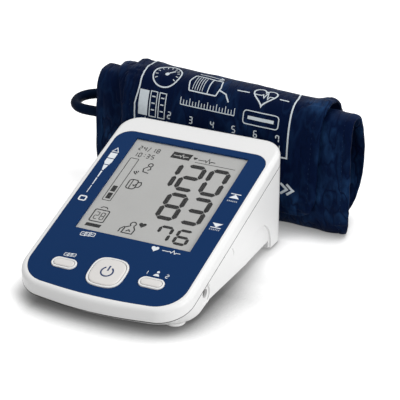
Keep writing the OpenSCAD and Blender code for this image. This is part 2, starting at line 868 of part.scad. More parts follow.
// The hose leaves the port, turns back and goes into the roll, down to the hank.
bend_route = [[-83, 83.4, 48.5], [-89, 83.4, 48.5], [-94, 83.4, 48.5], [-98, 84, 48.5],
    [-102, 86, 48.6], [-105.4, 89.4, 48.8], [-107.2, 94, 49], [-107.4, 98.5, 49.3],
    [-105.8, 103, 49.5], [-102.6, 106.5, 49.7], [-98.5, 108.7, 49.8], [-94, 109.2, 49.6],
    [-86, 108.6, 48.4], [-78, 107, 45.6], [-70, 104.6, 41.4], [-62, 101.8, 36.2],
    [-54, 99.2, 30.6], [-46, 97.2, 25], [-38, 95.9, 19.8], [-30, 95.2, 15.6],
    [-22, 95, 13], [-14, 95, 12.1], [-7, 95, 12]];

hank_y = 95;
lower = 12;
upper = lower + 2 * hank_r;
hank_right = hank_run / 2 - 4.75;
tail_r = 13;
plug_at = [0, hank_y - hank_step / 2, lower + 7.6];
// Points of the hank: run, bend, run back, bend, then the second layer and the tail.
function half_turn(side, y) = [for (k = [1:9]) let (a = -90 + 18 * k)
    [side * (hank_right + hank_r * cos(a)), y, lower + hank_r + side * hank_r * sin(a)]];
function ease(f) = f * f * (3 - 2 * f);
tail_x = hank_right + hank_r - tail_r;
tail_z = lower + hank_r + tail_r;
hank_route = concat(
    [for (x = [-7, 8, 26, hank_right]) [x, hank_y, lower]],
    half_turn(1, hank_y),
    [for (x = [hank_right, 20]) [x, hank_y, upper]],
    [for (k = [0:4]) [mix(0, -hank_right, k / 4), hank_y - hank_step * ease(k / 4), upper]],
    half_turn(-1, hank_y - hank_step),
    [for (x = [-hank_right, -20, 20, hank_right]) [x, hank_y - hank_step, lower]],
    [for (k = [0:4]) half_turn(1, hank_y - hank_step)[k]],
    [for (a = [18:18:72]) [tail_x + tail_r * cos(a), hank_y - hank_step, tail_z + tail_r * (sin(a) - 1)]],
    [for (k = [0:7]) [mix(tail_x, plug_at[0] + hose_d, k / 7),
        hank_y - hank_step * (1 - 0.5 * ease(k / 7)), mix(tail_z, plug_at[2], ease(k / 7))]],
    [plug_at]);

function unit(v) = v / max(norm(v), 0.000001);
// The direction of the route at point k.
function heading(p, k) = unit(p[min(k + 1, len(p) - 1)] - p[max(k - 1, 0)]);

// A route with its inner corners rounded.
function bent(p, r) = concat([p[0]],
    [for (k = [1:1:len(p) - 2]) let (u = unit(p[k - 1] - p[k]), v = unit(p[k + 1] - p[k]))
        each [for (t = [0:0.25:1]) p[k] + r * (u * (1 - t) * (1 - t) + v * t * t)]],
    [p[len(p) - 1]]);

// A tube of given sides swept along a route, hollow where a bore is given.
module hose(route, r, sides, side_on, bore = 0) {
    n = len(route);
    m = n * sides;
    points = [for (radius = bore > 0 ? [r, bore] : [r], k = [0:n - 1])
        let (h = heading(route, k), u = unit(cross(h, side_on)), v = cross(h, u))
        for (j = [0:sides - 1]) let (a = 360 * j / sides) route[k] + radius * (cos(a) * u + sin(a) * v)];
    skin = [for (k = [0:n - 2], j = [0:sides - 1])
        let (a = k * sides + j, b = k * sides + (j + 1) % sides)
        each [[a, b, b + sides], [a, b + sides, a + sides]]];
    inner = bore > 0 ? [for (f = skin) [f[2] + m, f[1] + m, f[0] + m]] : [];
    caps = bore > 0
        ? [for (j = [0:sides - 1]) let (a = j, b = (j + 1) % sides, c = m - sides + j, d = m - sides + b)
            each [[b, a, a + m], [b, a + m, b + m], [c, d, d + m], [c, d + m, c + m]]]
        : [for (j = [1:sides - 2]) each [[0, j + 1, j], [m - sides, m - sides + j, m - sides + j + 1]]];
    polyhedron(points, concat(skin, inner, caps), convexity = 10);
}

function length(p) = len(p) < 2 ? 0 : [for (k = [1:len(p) - 1]) norm(p[k] - p[k - 1])]
    * [for (k = [1:len(p) - 1]) 1];
hose_length = length(bend_route) + length(hank_route);
echo(hose_length = hose_length);

// The hank's least gap to itself, past two diameters along the hose.
function dense(p, n) = [for (k = [0:len(p) - 2], f = [0:1 / n:0.999]) mix(p[k], p[k + 1], f)];
hank_dense = dense(hank_route, 3);
hank_reach = [for (k = 0, s = 0; k < len(hank_dense); k = k + 1,
    s = s + (k < len(hank_dense) ? norm(hank_dense[k] - hank_dense[k - 1]) : 0)) s];
hank_gap = min([for (i = [0:len(hank_dense) - 1], j = [i + 1:1:len(hank_dense) - 1])
    if (hank_reach[j] - hank_reach[i] > 2 * hose_d) norm(hank_dense[i] - hank_dense[j])]) - hose_d;
echo(hank_gap = hank_gap);

module hose_bend() {
    color(c_dark) on_desk() hose(bend_route, hose_d / 2, 12, [0, 0.3, 0.95]);
}

module hose_hank() {
    color(c_dark) on_desk() hose(hank_route, hose_d / 2, 6, [0, 1, 0.1]);
}

module hose_plug() {
    color(c_dark) on_desk() translate(plug_at) {
        lying(-14, 0, 4.8);
        lying(-16.5, -14, 4);
        lying(-26, -16, socket_bore / 2 - fit);
    }
}

// A band that holds the hank's runs together.
module hose_tie() {
    half_y = (hank_step + hose_d) / 2 + 0.35;
    half_z = hank_r + hose_d / 2 + 0.35;
    color([0.3, 0.3, 0.32]) on_desk()
        translate([26, hank_y - hank_step / 2, lower + hank_r]) rotate([90, 0, 90])
            linear_extrude(3) difference() {
                tie_shape(half_y + 0.8, half_z + 0.8);
                tie_shape(half_y, half_z);
            }
}

module tie_shape(half_y, half_z) {
    r = half_y - 3;
    for (side = [-1, 1]) translate([0, side * (half_z - r)]) {
        translate([-3, 0]) circle(r = r);
        translate([3, 0]) circle(r = r);
        square([6, 2 * r], center = true);
    }
    square([2 * half_y, 2 * (half_z - r)], center = true);
}

upper_shell();
lower_shell();
face_panel();
display_window();
display_glass();
display_frame();
contact_strips();
start_button();
memory_button();
user_button();
button_switches();
main_board();
board_screws();
pressure_sensor();
pump_motor();
pump_head();
release_valve();
air_manifold();
air_tubes();
air_socket();
power_jack();
wire_leads();
battery_cell_1();
battery_cell_2();
battery_cell_3();
battery_cell_4();
battery_contacts();
battery_springs();
battery_door();
front_foot_left();
front_foot_right();
rear_foot_left();
rear_foot_right();
case_screws();
cuff_outer_ply();
cuff_bladder();
cuff_inner_ply();
cuff_hook_patch();
cuff_port();
hose_bend();
hose_hank();
hose_plug();
hose_tie();
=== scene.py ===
"""Looks of a desktop blood pressure monitor and its rolled arm cuff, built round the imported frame."""

import json
import math

import bmesh
import bpy
from bpy.props import FloatProperty, FloatVectorProperty, PointerProperty
from mathutils import Matrix, Vector, noise
from mathutils.geometry import convex_hull_2d


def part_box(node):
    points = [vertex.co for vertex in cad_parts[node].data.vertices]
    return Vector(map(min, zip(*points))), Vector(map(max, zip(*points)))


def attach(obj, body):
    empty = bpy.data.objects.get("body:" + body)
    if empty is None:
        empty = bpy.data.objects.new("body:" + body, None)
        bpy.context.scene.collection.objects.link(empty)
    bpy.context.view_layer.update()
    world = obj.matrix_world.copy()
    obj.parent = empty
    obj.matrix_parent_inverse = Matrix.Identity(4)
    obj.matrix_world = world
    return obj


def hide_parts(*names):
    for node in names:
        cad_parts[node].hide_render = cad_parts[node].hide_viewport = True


bl_info = {
    "name": "Blood Pressure Monitor and Cuff",
    "version": (1, 0, 0),
    "blender": (4, 5, 0),
    "location": "3D View > Sidebar > Monitor",
    "description": "Builds the looks of a desktop blood pressure monitor with its rolled arm cuff and hose",
    "category": "Object",
}

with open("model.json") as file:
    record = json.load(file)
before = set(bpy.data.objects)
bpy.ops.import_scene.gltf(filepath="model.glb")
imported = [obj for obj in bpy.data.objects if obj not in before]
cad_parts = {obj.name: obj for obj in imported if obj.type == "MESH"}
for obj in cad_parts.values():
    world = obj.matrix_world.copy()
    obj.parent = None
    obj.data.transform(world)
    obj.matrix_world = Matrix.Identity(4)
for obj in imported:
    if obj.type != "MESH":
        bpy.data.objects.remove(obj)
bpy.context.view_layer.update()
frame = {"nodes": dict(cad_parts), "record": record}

# Lengths in this file are millimetres unless a name says otherwise. DESK places a point of the
# monitor's own frame (X across, Y back from under the face's pivot line, Z up from the table) in
# the row frame, and FACE places a point of the sloping face (across, up the slope, out of it).
REAR_WALL = 63
TILT = math.radians(19.1)
FACE_HEIGHT = 40.0009
BAY_MIDDLE = 8.5
shell_low, shell_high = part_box("lower_shell")
DESK = (Matrix.Translation(((shell_low.x + shell_high.x) / 2, shell_high.y - REAR_WALL / 1000, 0))
        @ Matrix.Scale(0.001, 4))
FACE = DESK @ Matrix.Translation((0, 0, FACE_HEIGHT)) @ Matrix.Rotation(TILT, 4, "X")


# ------------------------------------------------------------------------------- settings


class MonitorSettings(bpy.types.PropertyGroup):
    """Sizes and colours of the monitor itself."""

    shell_colour: FloatVectorProperty(
        name="Shell colour", description="Colour of the two shells", subtype="COLOR",
        default=(0.82, 0.82, 0.818), min=0, max=1)
    panel_colour: FloatVectorProperty(
        name="Panel colour", description="Colour of the face panel", subtype="COLOR",
        default=(0.0008, 0.026, 0.105), min=0, max=1)
    display_colour: FloatVectorProperty(
        name="Display colour", description="Colour of the display's ground", subtype="COLOR",
        default=(0.475, 0.475, 0.465), min=0, max=1)
    mark_colour: FloatVectorProperty(
        name="Mark colour", description="Colour of the display's bars and signs", subtype="COLOR",
        default=(0.004, 0.004, 0.004), min=0, max=1)
    key_colour: FloatVectorProperty(
        name="Key colour", description="Colour of the three keys", subtype="COLOR",
        default=(0.72, 0.70, 0.68), min=0, max=1)
    edge_round: FloatProperty(
        name="Edge rounding", description="Rounding of the shells' moulded edges", unit="LENGTH",
        default=0.0003, min=0.0001, max=0.0008)
    key_dome: FloatProperty(
        name="Key dome", description="Rise of a key's middle over its edge", unit="LENGTH",
        default=0.0002, min=0, max=0.0005)


class CuffSettings(bpy.types.PropertyGroup):
    """Sizes and colours of the cuff and its hose."""

    cloth_colour: FloatVectorProperty(
        name="Cloth colour", description="Colour of the nylon in shade", subtype="COLOR",
        default=(0.0022, 0.0060, 0.0265), min=0, max=1)
    # Colour of the painted sheen: the lighter patches painted on the nylon as highlights
    painted_sheen_colour: FloatVectorProperty(
        name="Sheen colour", description="Colour of the nylon's lighter patches", subtype="COLOR",
        default=(0.017, 0.056, 0.150), min=0, max=1)
    print_colour: FloatVectorProperty(
        name="Print colour", description="Colour of the lines on the flap", subtype="COLOR",
        default=(0.62, 0.68, 0.72), min=0, max=1)
    crease: FloatProperty(
        name="Crease depth", description="Depth of the cloth's creases", unit="LENGTH",
        default=0.0010, min=0, max=0.002)
    flap_lift: FloatProperty(
        name="Flap lift", description="How far the flap's right edge stands off near the top", unit="LENGTH",
        default=0.0028, min=0, max=0.006)
    hose_diameter: FloatProperty(
        name="Hose diameter", description="Outer diameter of the air hose", unit="LENGTH",
        default=0.0065, min=0.005, max=0.008)


class StageSettings(bpy.types.PropertyGroup):
    """Camera and light."""

    lens: FloatProperty(name="Lens", description="Focal length in millimetres", default=157.5, min=50, max=300)
    key_power: FloatProperty(name="Key lamp", description="Power of the large lamp", default=6.6, min=0, max=60)
    side_power: FloatProperty(name="Side lamp", description="Power of the lamp at the right", default=6.8, min=0,
                              max=60)
    sky: FloatProperty(name="Sky", description="Strength of the white surroundings", default=0.54, min=0, max=2)


# ------------------------------------------------------------------------------- small tools


def select(*pieces):
    """Leaves edit mode and selects these pieces alone, the last of them active."""
    if bpy.context.object and bpy.context.object.mode != "OBJECT":
        bpy.ops.object.mode_set(mode="OBJECT")
    bpy.ops.object.select_all(action="DESELECT")
    for piece in pieces:
        piece.select_set(True)
        bpy.context.view_layer.objects.active = piece


def finish(piece, body, slot, smooth=35.0, material=None, flat_first=False):
    """Gives a piece that is in place its finish, its body and smooth shading; flat_first keeps wide flats flat."""
    piece.data.materials.clear()
    piece.data.materials.append(material or finish_of(slot))
    select(piece)
    bpy.ops.object.shade_smooth_by_angle(angle=math.radians(smooth))
    if flat_first:
        apply_modifier(piece, "WEIGHTED_NORMAL", keep_sharp=True, weight=100)
    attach(piece, body)
    return piece


def new_object(name, data):
    """An object of this mesh or curve, in the scene."""
    piece = bpy.data.objects.new(name, data)
    bpy.context.collection.objects.link(piece)
    return piece


def mesh_piece(name, points, faces, place=Matrix()):
    """A new mesh object of these points and faces, moved by place in its mesh."""
    mesh = bpy.data.meshes.new(name)
    mesh.from_pydata([place @ Vector(p) for p in points], [], faces)
    mesh.update()
    return new_object(name, mesh)


def round_curve(name, radius, resolution, caps):
    """An empty curve of round section; radius in metres."""
    curve = bpy.data.curves.new(name, "CURVE")
    curve.dimensions = "3D"
    curve.bevel_depth = radius
    curve.bevel_resolution = resolution
    curve.use_fill_caps = caps
    return curve


def wire_piece(name, routes, radius, resolution, caps):
    """Round wires as one mesh; a route's points are ((x, y, z) on the desk, share of the wire's radius)."""
    wires = round_curve(name, radius, resolution, caps)
    for route in routes:
        spline = wires.splines.new("POLY")
        spline.points.add(len(route) - 1)
        for point, (place, share) in zip(spline.points, route):
            point.co = (*(DESK @ Vector(place)), 1)
            point.radius = share
    select(new_object(name, wires))
    bpy.ops.object.convert(target="MESH")
    return bpy.context.object


def apply_modifier(piece, kind, **values):
    """Adds one modifier with these values and applies it."""
    select(piece)
    modifier = piece.modifiers.new(kind.title(), kind)
    for key, value in values.items():
        setattr(modifier, key, value)
    bpy.ops.object.modifier_apply(modifier=modifier.name)


def blend_to(a, b, share):
    """The value this share of the way from a to b."""
    return a + (b - a) * share


def ease(share):
    """Share held between 0 and 1, with a soft start and end."""
    share = min(max(share, 0.0), 1.0)
    return share * share * (3 - 2 * share)


def arc(x, y, radius, start, stop, steps=12):
    """Points on an arc; angles in degrees."""
    turns = [math.radians(blend_to(start, stop, k / steps)) for k in range(steps + 1)]
    return [(x + radius * math.cos(a), y + radius * math.sin(a)) for a in turns]


def rounded_box(x0, x1, y0, y1, radius, steps=5):
    """Outline of a rectangle with round corners."""
    return (arc(x1 - radius, y0 + radius, radius, -90, 0, steps) + arc(x1 - radius, y1 - radius, radius, 0, 90, steps)
            + arc(x0 + radius, y1 - radius, radius, 90, 180, steps)
            + arc(x0 + radius, y0 + radius, radius, 180, 270, steps))


# ------------------------------------------------------------------------------- finishes


def maths(tree, operation, a, b=0.0):
    """A Math node of two numbers or sockets."""
    made = tree.nodes.new("ShaderNodeMath")
    made.operation = operation
    for socket, value in zip(made.inputs, (a, b)):
        if isinstance(value, (int, float)):
            socket.default_value = value
        else:
            tree.links.new(value, socket)
    return made.outputs[0]


def map_range(tree, value, source, result=(0.0, 1.0), interpolation="LINEAR"):
    """A socket's value taken from the source range to the result range, and held at its ends."""
    made = tree.nodes.new("ShaderNodeMapRange")
    made.interpolation_type = interpolation
    for socket, limit in zip(("From Min", "From Max", "To Min", "To Max"), (*source, *result)):
        made.inputs[socket].default_value = limit
    tree.links.new(value, made.inputs["Value"])
    return made.outputs[0]


class Finish:
    """A Principled material, with short ways to add what these finishes share."""

    def __init__(self, name, colour, roughness, space="Object", **sockets):
        self.material = bpy.data.materials.new(name)
        self.material.use_nodes = True
        self.tree = self.material.node_tree
        self.nodes, self.links = self.tree.nodes, self.tree.links
        self.shader = self.nodes["Principled BSDF"]
        self.set("Base Color", (*colour, 1))
        self.set("Roughness", roughness)
        for key, value in sockets.items():
            self.set(key.replace("_", " "), value)
        self.place = self.nodes.new("ShaderNodeTexCoord").outputs[space]
        self.normal = None

    def set(self, socket, value):
        """Sets a socket of the Principled shader."""
        self.shader.inputs[socket].default_value = value

    def node(self, kind, **values):
        """A node whose sockets or settings take these values."""
        made = self.nodes.new(kind)
        for key, value in values.items():
            name = key.replace("_", " ")
            if name in made.inputs:
                made.inputs[name].default_value = value
            else:
                setattr(made, key, value)
        return made

    def noise(self, scale, detail=3.0, stretch=(1, 1, 1), rough=0.55):
        """Noise over the surface; scale is in turns per metre."""
        mapping = self.node("ShaderNodeMapping", Scale=stretch)
        made = self.node("ShaderNodeTexNoise", Scale=scale, Detail=detail, Roughness=rough)
        self.links.new(self.place, mapping.inputs["Vector"])
        self.links.new(mapping.outputs[0], made.inputs["Vector"])
        return made.outputs["Fac"]

    def bands(self, period, direction="X"):
        """Even waves along one axis; period in metres."""
        made = self.node("ShaderNodeTexWave", Scale=math.tau / 20 / period, bands_direction=direction)
        self.links.new(self.place, made.inputs["Vector"])
        return made.outputs["Fac"]

    def spread(self, value, low, high, out_low=0.0, out_high=1.0):
        """Value from low..high taken to out_low..out_high."""
        return map_range(self.tree, value, (low, high), (out_low, out_high))

    def maths(self, operation, a, b=0.0):
        """A Math node of this material."""
        return maths(self.tree, operation, a, b)

    def colours(self, value, first, second):
        """Mixes two colours by value into the base colour."""
        made = self.node("ShaderNodeMix", data_type="RGBA")
        first_colour, second_colour, result = made.inputs[6], made.inputs[7], made.outputs[2]
        self.links.new(value, made.inputs["Factor"])
        first_colour.default_value = (*first, 1)
        second_colour.default_value = (*second, 1)
        self.links.new(result, self.shader.inputs["Base Color"])

    def roughness(self, value, low, high):
        """Gloss that changes with a noise value."""
        self.links.new(self.spread(value, 0.3, 0.7, low, high), self.shader.inputs["Roughness"])

    def bump(self, value, distance, strength=1.0):
        """Raises the surface by value; distance in metres."""
        made = self.node("ShaderNodeBump", Strength=strength, Distance=distance)
        self.links.new(value, made.inputs["Height"])
        if self.normal:
            self.links.new(self.normal, made.inputs["Normal"])
        self.normal = made.outputs[0]
        self.links.new(self.normal, self.shader.inputs["Normal"])


def shaded(colour, factor):
    """A darker or lighter tone of a colour."""
    return tuple(min(c * factor, 1) for c in colour)


def plastic(name, colour, roughness, grain=0.00002, **sockets):
    """Moulded plastic: a faint flow in its tone, a fine skin and uneven gloss."""
    made = Finish(name, colour, roughness, **sockets)
    made.colours(made.spread(made.noise(25, 1), 0.3, 0.7), shaded(colour, 0.992), shaded(colour, 1.006))
    made.roughness(made.noise(160, 3), roughness * 0.92, roughness * 1.08)
    made.bump(made.noise(1400, 2), grain, 0.5)
    return made


def rubber(name, colour, roughness, **sockets):
    """Rubber: dusty lighter patches and a dull fine grain."""
    made = Finish(name, colour, roughness, **sockets)
    made.colours(made.spread(made.noise(120, 4), 0.35, 0.75), colour, shaded(colour, 1.5))
    made.roughness(made.noise(300, 3), roughness * 0.85, min(roughness * 1.2, 1))
    made.bump(made.noise(2500, 3), 0.00004)
    return made


def metal(name, colour, roughness, **sockets):
    """Plated or drawn metal with fine lines."""
    made = Finish(name, colour, roughness, Metallic=1.0, **sockets)
    lines = made.noise(700, 3, (1, 0.05, 1))
    made.colours(made.spread(lines, 0.3, 0.7), shaded(colour, 0.82), colour)
    made.roughness(lines, roughness * 0.8, roughness * 1.3)
    made.bump(lines, 0.00002)
    return made


def board(name, colour):
    """Lacquered circuit board with lighter tracks."""
    made = Finish(name, colour, 0.35, Specular_IOR_Level=0.5)
    cells = made.node("ShaderNodeTexVoronoi", Scale=330.0, feature="DISTANCE_TO_EDGE")
    made.links.new(made.place, cells.inputs["Vector"])
    track = made.spread(cells.outputs["Distance"], 0.03, 0.08, 1, 0)
    made.colours(track, colour, shaded(colour, 2.2))
    made.bump(track, 0.00003)
    return made


def cell_wrap(name, colour, cap, end):
    """Shrink-wrapped cell: a coppery band at the nub's end and a dark body; end is the nub's side, 1 or -1."""
    made = Finish(name, colour, 0.3, Metallic=0.55)
    split = made.node("ShaderNodeSeparateXYZ")
    made.links.new(made.place, split.inputs[0])
    middle = (DESK @ Vector((0, BAY_MIDDLE, 0))).y
    band = made.spread(split.outputs["Y"], middle + end * 0.0135, middle + end * 0.0137, 0, 1)
    made.colours(band, colour, cap)
    made.roughness(made.noise(200, 2), 0.22, 0.34)
    return made


def nylon(name, cloth, sheen, cell=0.00055):
    """Coated nylon: painted sheen in lighter patches and beside fine creases, painted shade along the crease lines, and
    a close weave, all on the cloth's own map.
    """
    made = Finish(name, cloth, 0.5, space="UV", Sheen_Weight=0.03, Sheen_Roughness=0.4,
                  Sheen_Tint=(0.2, 0.45, 1.0, 1), Specular_IOR_Level=0.035, Specular_Tint=(0.25, 0.5, 1.0, 1))
    wide = made.noise(30, 2, (1, 0.7, 1))
    fine = made.noise(170, 4, (1.3, 0.6, 1))
    folds = made.noise(62, 2, (1.7, 0.6, 1), 0.45)
    # Painted shade: along the crease lines the colour falls back to the plain dark cloth
    crease = made.spread(made.maths("ABSOLUTE", made.maths("SUBTRACT", folds, 0.5)), 0.0, 0.035)
    # Painted highlight along one side of each crease
    painted_flank_highlight = made.spread(made.maths("ABSOLUTE", made.maths("SUBTRACT", folds, 0.57)), 0.0, 0.055, 0.30, 0.0)
    # Painted sheen: lighter patches from the wide noise, broken up by the fine noise
    patch = made.maths("MULTIPLY", made.spread(wide, 0.49, 0.70), made.spread(fine, 0.38, 0.66, 0.12, 1))
    painted_sheen = made.maths("MULTIPLY", made.maths("MAXIMUM", patch, made.maths("MULTIPLY", painted_flank_highlight, wide)), crease)
    # The painted sheen and highlights mix the cloth towards the sheen colour
    made.colours(painted_sheen, cloth, sheen)
    made.roughness(fine, 0.42, 0.58)
    made.bump(crease, 0.0005, 0.5)
    made.bump(made.noise(95, 3, (1.6, 0.5, 1)), 0.0012, 0.6)
    made.bump(fine, 0.0003, 0.6)
    weave = made.maths("ADD", made.bands(cell, "X"), made.bands(cell, "Y"))
    made.bump(weave, 0.00003, 0.5)
    return made


def nylon_tape(name, cloth, sheen):
    """Sewing thread and tape: twisted ribs."""
    made = Finish(name, cloth, 0.6, Sheen_Weight=0.05, Sheen_Tint=(0.4, 0.6, 1.0, 1), Specular_IOR_Level=0.1)
    made.colours(made.spread(made.noise(900, 3), 0.3, 0.7), cloth, sheen)
    made.bump(made.noise(3000, 2), 0.00005)
    return made


def hook_skin(name, colour):
    """Hook tape: rows of tiny stiff hooks."""
    made = Finish(name, colour, 0.7, space="UV")
    rows = made.maths("MULTIPLY", made.bands(0.0016, "X"), made.bands(0.0014, "Y"))
    made.colours(rows, colour, shaded(colour, 3))
    made.bump(rows, 0.0004)
    return made


def hose_skin(name, colour):
    """Moulded rubber hose with a faint bloom."""
    made = Finish(name, colour, 0.5, Specular_IOR_Level=0.02, Specular_Tint=(0.3, 0.5, 1.0, 1))
    made.colours(made.spread(made.noise(90, 4), 0.4, 0.8), colour, shaded(colour, 1.5))
    made.roughness(made.noise(250, 3), 0.42, 0.6)
    made.bump(made.noise(2200, 2), 0.00003)
    return made


def window_skin(name):
    """Clear window film: nearly all light passes, with a thin gloss."""
    made = Finish(name, (0.20, 0.21, 0.22), 0.08, Alpha=0.02, Specular_IOR_Level=0.3)
    made.roughness(made.noise(60, 2), 0.04, 0.09)
    made.bump(made.noise(30, 1), 0.00001)
    return made


def display_skin(name, colour):
    """Display glass: an even warm grey with a fine pixel-free grain."""
    made = Finish(name, colour, 0.4, Specular_IOR_Level=0.25)
    made.colours(made.spread(made.noise(25, 2), 0.3, 0.7), shaded(colour, 0.96), shaded(colour, 1.03))
    made.bump(made.noise(1800, 2), 0.00001)
    return made


def ink(name, colour, roughness=0.45):
    """Printed ink: slightly uneven cover."""
    made = Finish(name, colour, roughness, Specular_IOR_Level=0.3)
    made.colours(made.spread(made.noise(600, 3), 0.3, 0.7), shaded(colour, 0.93), colour)
    made.bump(made.noise(2500, 2), 0.000005)
    return made


FINISHES = {}


def finish_of(slot):
    """The material of a slot or of a print, made when it is first asked for."""
    if slot not in FINISHES:
        monitor, cuff = bpy.context.scene.monitor_settings, bpy.context.scene.cuff_settings
        cloth, sheen = tuple(cuff.cloth_colour), tuple(cuff.painted_sheen_colour)
        makers = {
            "white_plastic": lambda n: plastic(n, tuple(monitor.shell_colour), 0.30, 0.000003, Specular_IOR_Level=0.35),
            "button_white": lambda n: plastic(n, tuple(monitor.key_colour), 0.38, 0.00003),
            "blue_panel": lambda n: plastic(n, tuple(monitor.panel_colour), 0.34, 0.000002, Specular_IOR_Level=0.07),
            "clear_window": window_skin,
            "display_grey": lambda n: display_skin(n, tuple(monitor.display_colour)),
            "dark_plastic": lambda n: plastic(n, (0.018, 0.018, 0.02), 0.42, 0.00004),
            "dark_rubber": lambda n: rubber(n, (0.012, 0.012, 0.012), 0.7),
            "grey_rubber": lambda n: rubber(n, (0.10, 0.10, 0.105), 0.75),
            "tube_rubber": lambda n: rubber(n, (0.5, 0.5, 0.49), 0.5),
            "tube_plastic": lambda n: plastic(n, (0.62, 0.62, 0.6), 0.35),
            "lead_red": lambda n: rubber(n, (0.30, 0.012, 0.008), 0.4),
            "bladder_rubber": lambda n: rubber(n, (0.02, 0.02, 0.024), 0.6),
            "hose_rubber": lambda n: hose_skin(n, (0.0024, 0.0062, 0.018)),
            "bare_steel": lambda n: metal(n, (0.62, 0.62, 0.63), 0.3),
            "board_green": lambda n: board(n, (0.012, 0.09, 0.035)),
            "cell_wrap": lambda n: cell_wrap(n, (0.02, 0.02, 0.022), (0.55, 0.26, 0.08), 1),
            "cell_wrap_turned": lambda n: cell_wrap(n, (0.02, 0.02, 0.022), (0.55, 0.26, 0.08), -1),
            "navy_nylon": lambda n: nylon(n, cloth, sheen),
            "navy_thread": lambda n: nylon_tape(n, shaded(cloth, 1.2), shaded(sheen, 0.5)),
            "hook_nylon": lambda n: hook_skin(n, shaded(cloth, 1.3)),
            "cloth_print": lambda n: ink(n, tuple(cuff.print_colour), 0.6),
            "panel_print": lambda n: ink(n, (0.80, 0.84, 0.88)),
            "display_print": lambda n: ink(n, tuple(monitor.mark_colour), 0.4),
            "key_print": lambda n: ink(n, (0.010, 0.035, 0.12)),
        }
        FINISHES[slot] = makers[slot](slot).material
    return FINISHES[slot]


# ------------------------------------------------------------------------------- flat artwork


class Artwork:
    """Signs and lines drawn flat in millimetres, then laid on a surface as a thin skin."""

    def __init__(self):
        self.points, self.faces = [], []

    def shape(self, outline):
        """A filled outline."""
        area = sum(a[0] * b[1] - b[0] * a[1] for a, b in zip(outline, outline[1:] + outline[:1]))
        first = len(self.points)
        self.points += outline if area > 0 else outline[::-1]
        self.faces.append(tuple(range(first, len(self.points))))

    def line(self, route, width, closed=False, step=None):
        """A line of even width along a route, cut into steps where the surface below is curved."""
        if step:
            ends = route + route[:1] if closed else route
            cut = []
            for a, b in zip(ends, ends[1:]):
                parts = max(1, round(math.dist(a, b) / step))
                cut += [(blend_to(a[0], b[0], k / parts), blend_to(a[1], b[1], k / parts)) for k in range(parts)]
            route = cut if closed else cut + [ends[-1]]
        first, count = len(self.points), len(route)
        for k, (x, y) in enumerate(route):
            before = route[k - 1] if k or closed else None
            after = route[(k + 1) % count] if k < count - 1 or closed else None
            sides = []
            for a, b in ((before, (x, y)), ((x, y), after)):
                if a and b and math.dist(a, b) > 1e-6:
                    run = math.dist(a, b)
                    sides.append(((a[1] - b[1]) / run, (b[0] - a[0]) / run))
            nx, ny = sum(s[0] for s in sides), sum(s[1] for s in sides)
            size = math.hypot(nx, ny) or 1
            nx, ny = nx / size, ny / size
            reach = width / 2 / max(0.5, nx * sides[0][0] + ny * sides[0][1])
            self.points += [(x + nx * reach, y + ny * reach), (x - nx * reach, y - ny * reach)]
        for k in range(count if closed else count - 1):
            a, b = first + 2 * k, first + 2 * ((k + 1) % count)
            self.faces.append((a, a + 1, b + 1, b))

    def field(self, x0, x1, y0, y1, step):
        """A filled rectangle cut into small squares, for a curved surface."""
        wide, tall = max(1, round((x1 - x0) / step)), max(1, round((y1 - y0) / step))
        first = len(self.points)
        self.points += [(blend_to(x0, x1, i / wide), blend_to(y0, y1, j / tall))
                        for j in range(tall + 1) for i in range(wide + 1)]
        for j in range(tall):
            for i in range(wide):
                a = first + j * (wide + 1) + i
                self.faces.append((a, a + 1, a + wide + 2, a + wide + 1))

    def digit(self, mark, x, y, wide, tall, bar):
        """A digit of pointed bars, its lower left corner at x, y."""
        left, right, half = x + bar / 2, x + wide - bar / 2, y + tall / 2
        low, top = y + bar / 2, y + tall - bar / 2
        bars = {"a": (left, top, right, top), "b": (right, half, right, top), "c": (right, low, right, half),
                "d": (left, low, right, low), "e": (left, low, left, half), "f": (left, half, left, top),
                "g": (left, half, right, half)}
        for name in BARS[mark]:
            x0, y0, x1, y1 = bars[name]
            run = math.hypot(x1 - x0, y1 - y0)
            dx, dy = (x1 - x0) / run, (y1 - y0) / run
            r, g = bar / 2, bar * 0.07
            self.shape([(x0 + dx * g, y0 + dy * g), (x0 + dx * r - dy * (r - g), y0 + dy * r + dx * (r - g)),
                        (x1 - dx * r - dy * (r - g), y1 - dy * r + dx * (r - g)), (x1 - dx * g, y1 - dy * g),
                        (x1 - dx * r + dy * (r - g), y1 - dy * r - dx * (r - g)),
                        (x0 + dx * r + dy * (r - g), y0 + dy * r - dx * (r - g))])

    def number(self, marks, x, y, wide, tall, bar, pitch):
        """Digits in a row, a pitch apart."""
        for k, mark in enumerate(marks):
            self.digit(mark, x + k * pitch, y, wide, tall, bar)

    def heart(self, x, y, size, width=None):
        """A heart about its middle, filled, or drawn as a line of this width."""
        outline, unit = [], size / 32
        for k in range(28):
            a = math.tau * k / 28
            rise = 13 * math.cos(a) - 5 * math.cos(2 * a) - 2 * math.cos(3 * a) - math.cos(4 * a)
            outline.append((x + unit * 16 * math.sin(a) ** 3, y + unit * rise))
        if width:
            self.line(outline, width, True)
        else:
            self.shape(outline)

    def pulse(self, x0, x1, y, tall, width, step=None):
        """A pulse trace from x0 to x1."""
        run = x1 - x0
        beat = ((0, 0), (0.34, 0), (0.42, 0.25), (0.5, -0.45), (0.6, 1), (0.7, -0.6), (0.77, 0), (1, 0))
        self.line([(x0 + run * a, y + tall * b) for a, b in beat], width, step=step)

    def piece(self, name, lay, thick):
        """The artwork as a closed skin, each point laid by the function lay."""
        made = mesh_piece(name, [lay(x, y) for x, y in self.points], self.faces)
        apply_modifier(made, "SOLIDIFY", thickness=thick / 1000, offset=0)
        return made


BARS = {"0": "abcdef", "1": "bc", "2": "abged", "3": "abgcd", "4": "fgbc", "5": "afgcd", "6": "afgedc",
        "7": "abcf", "8": "abcdefg", "9": "abcdfg"}


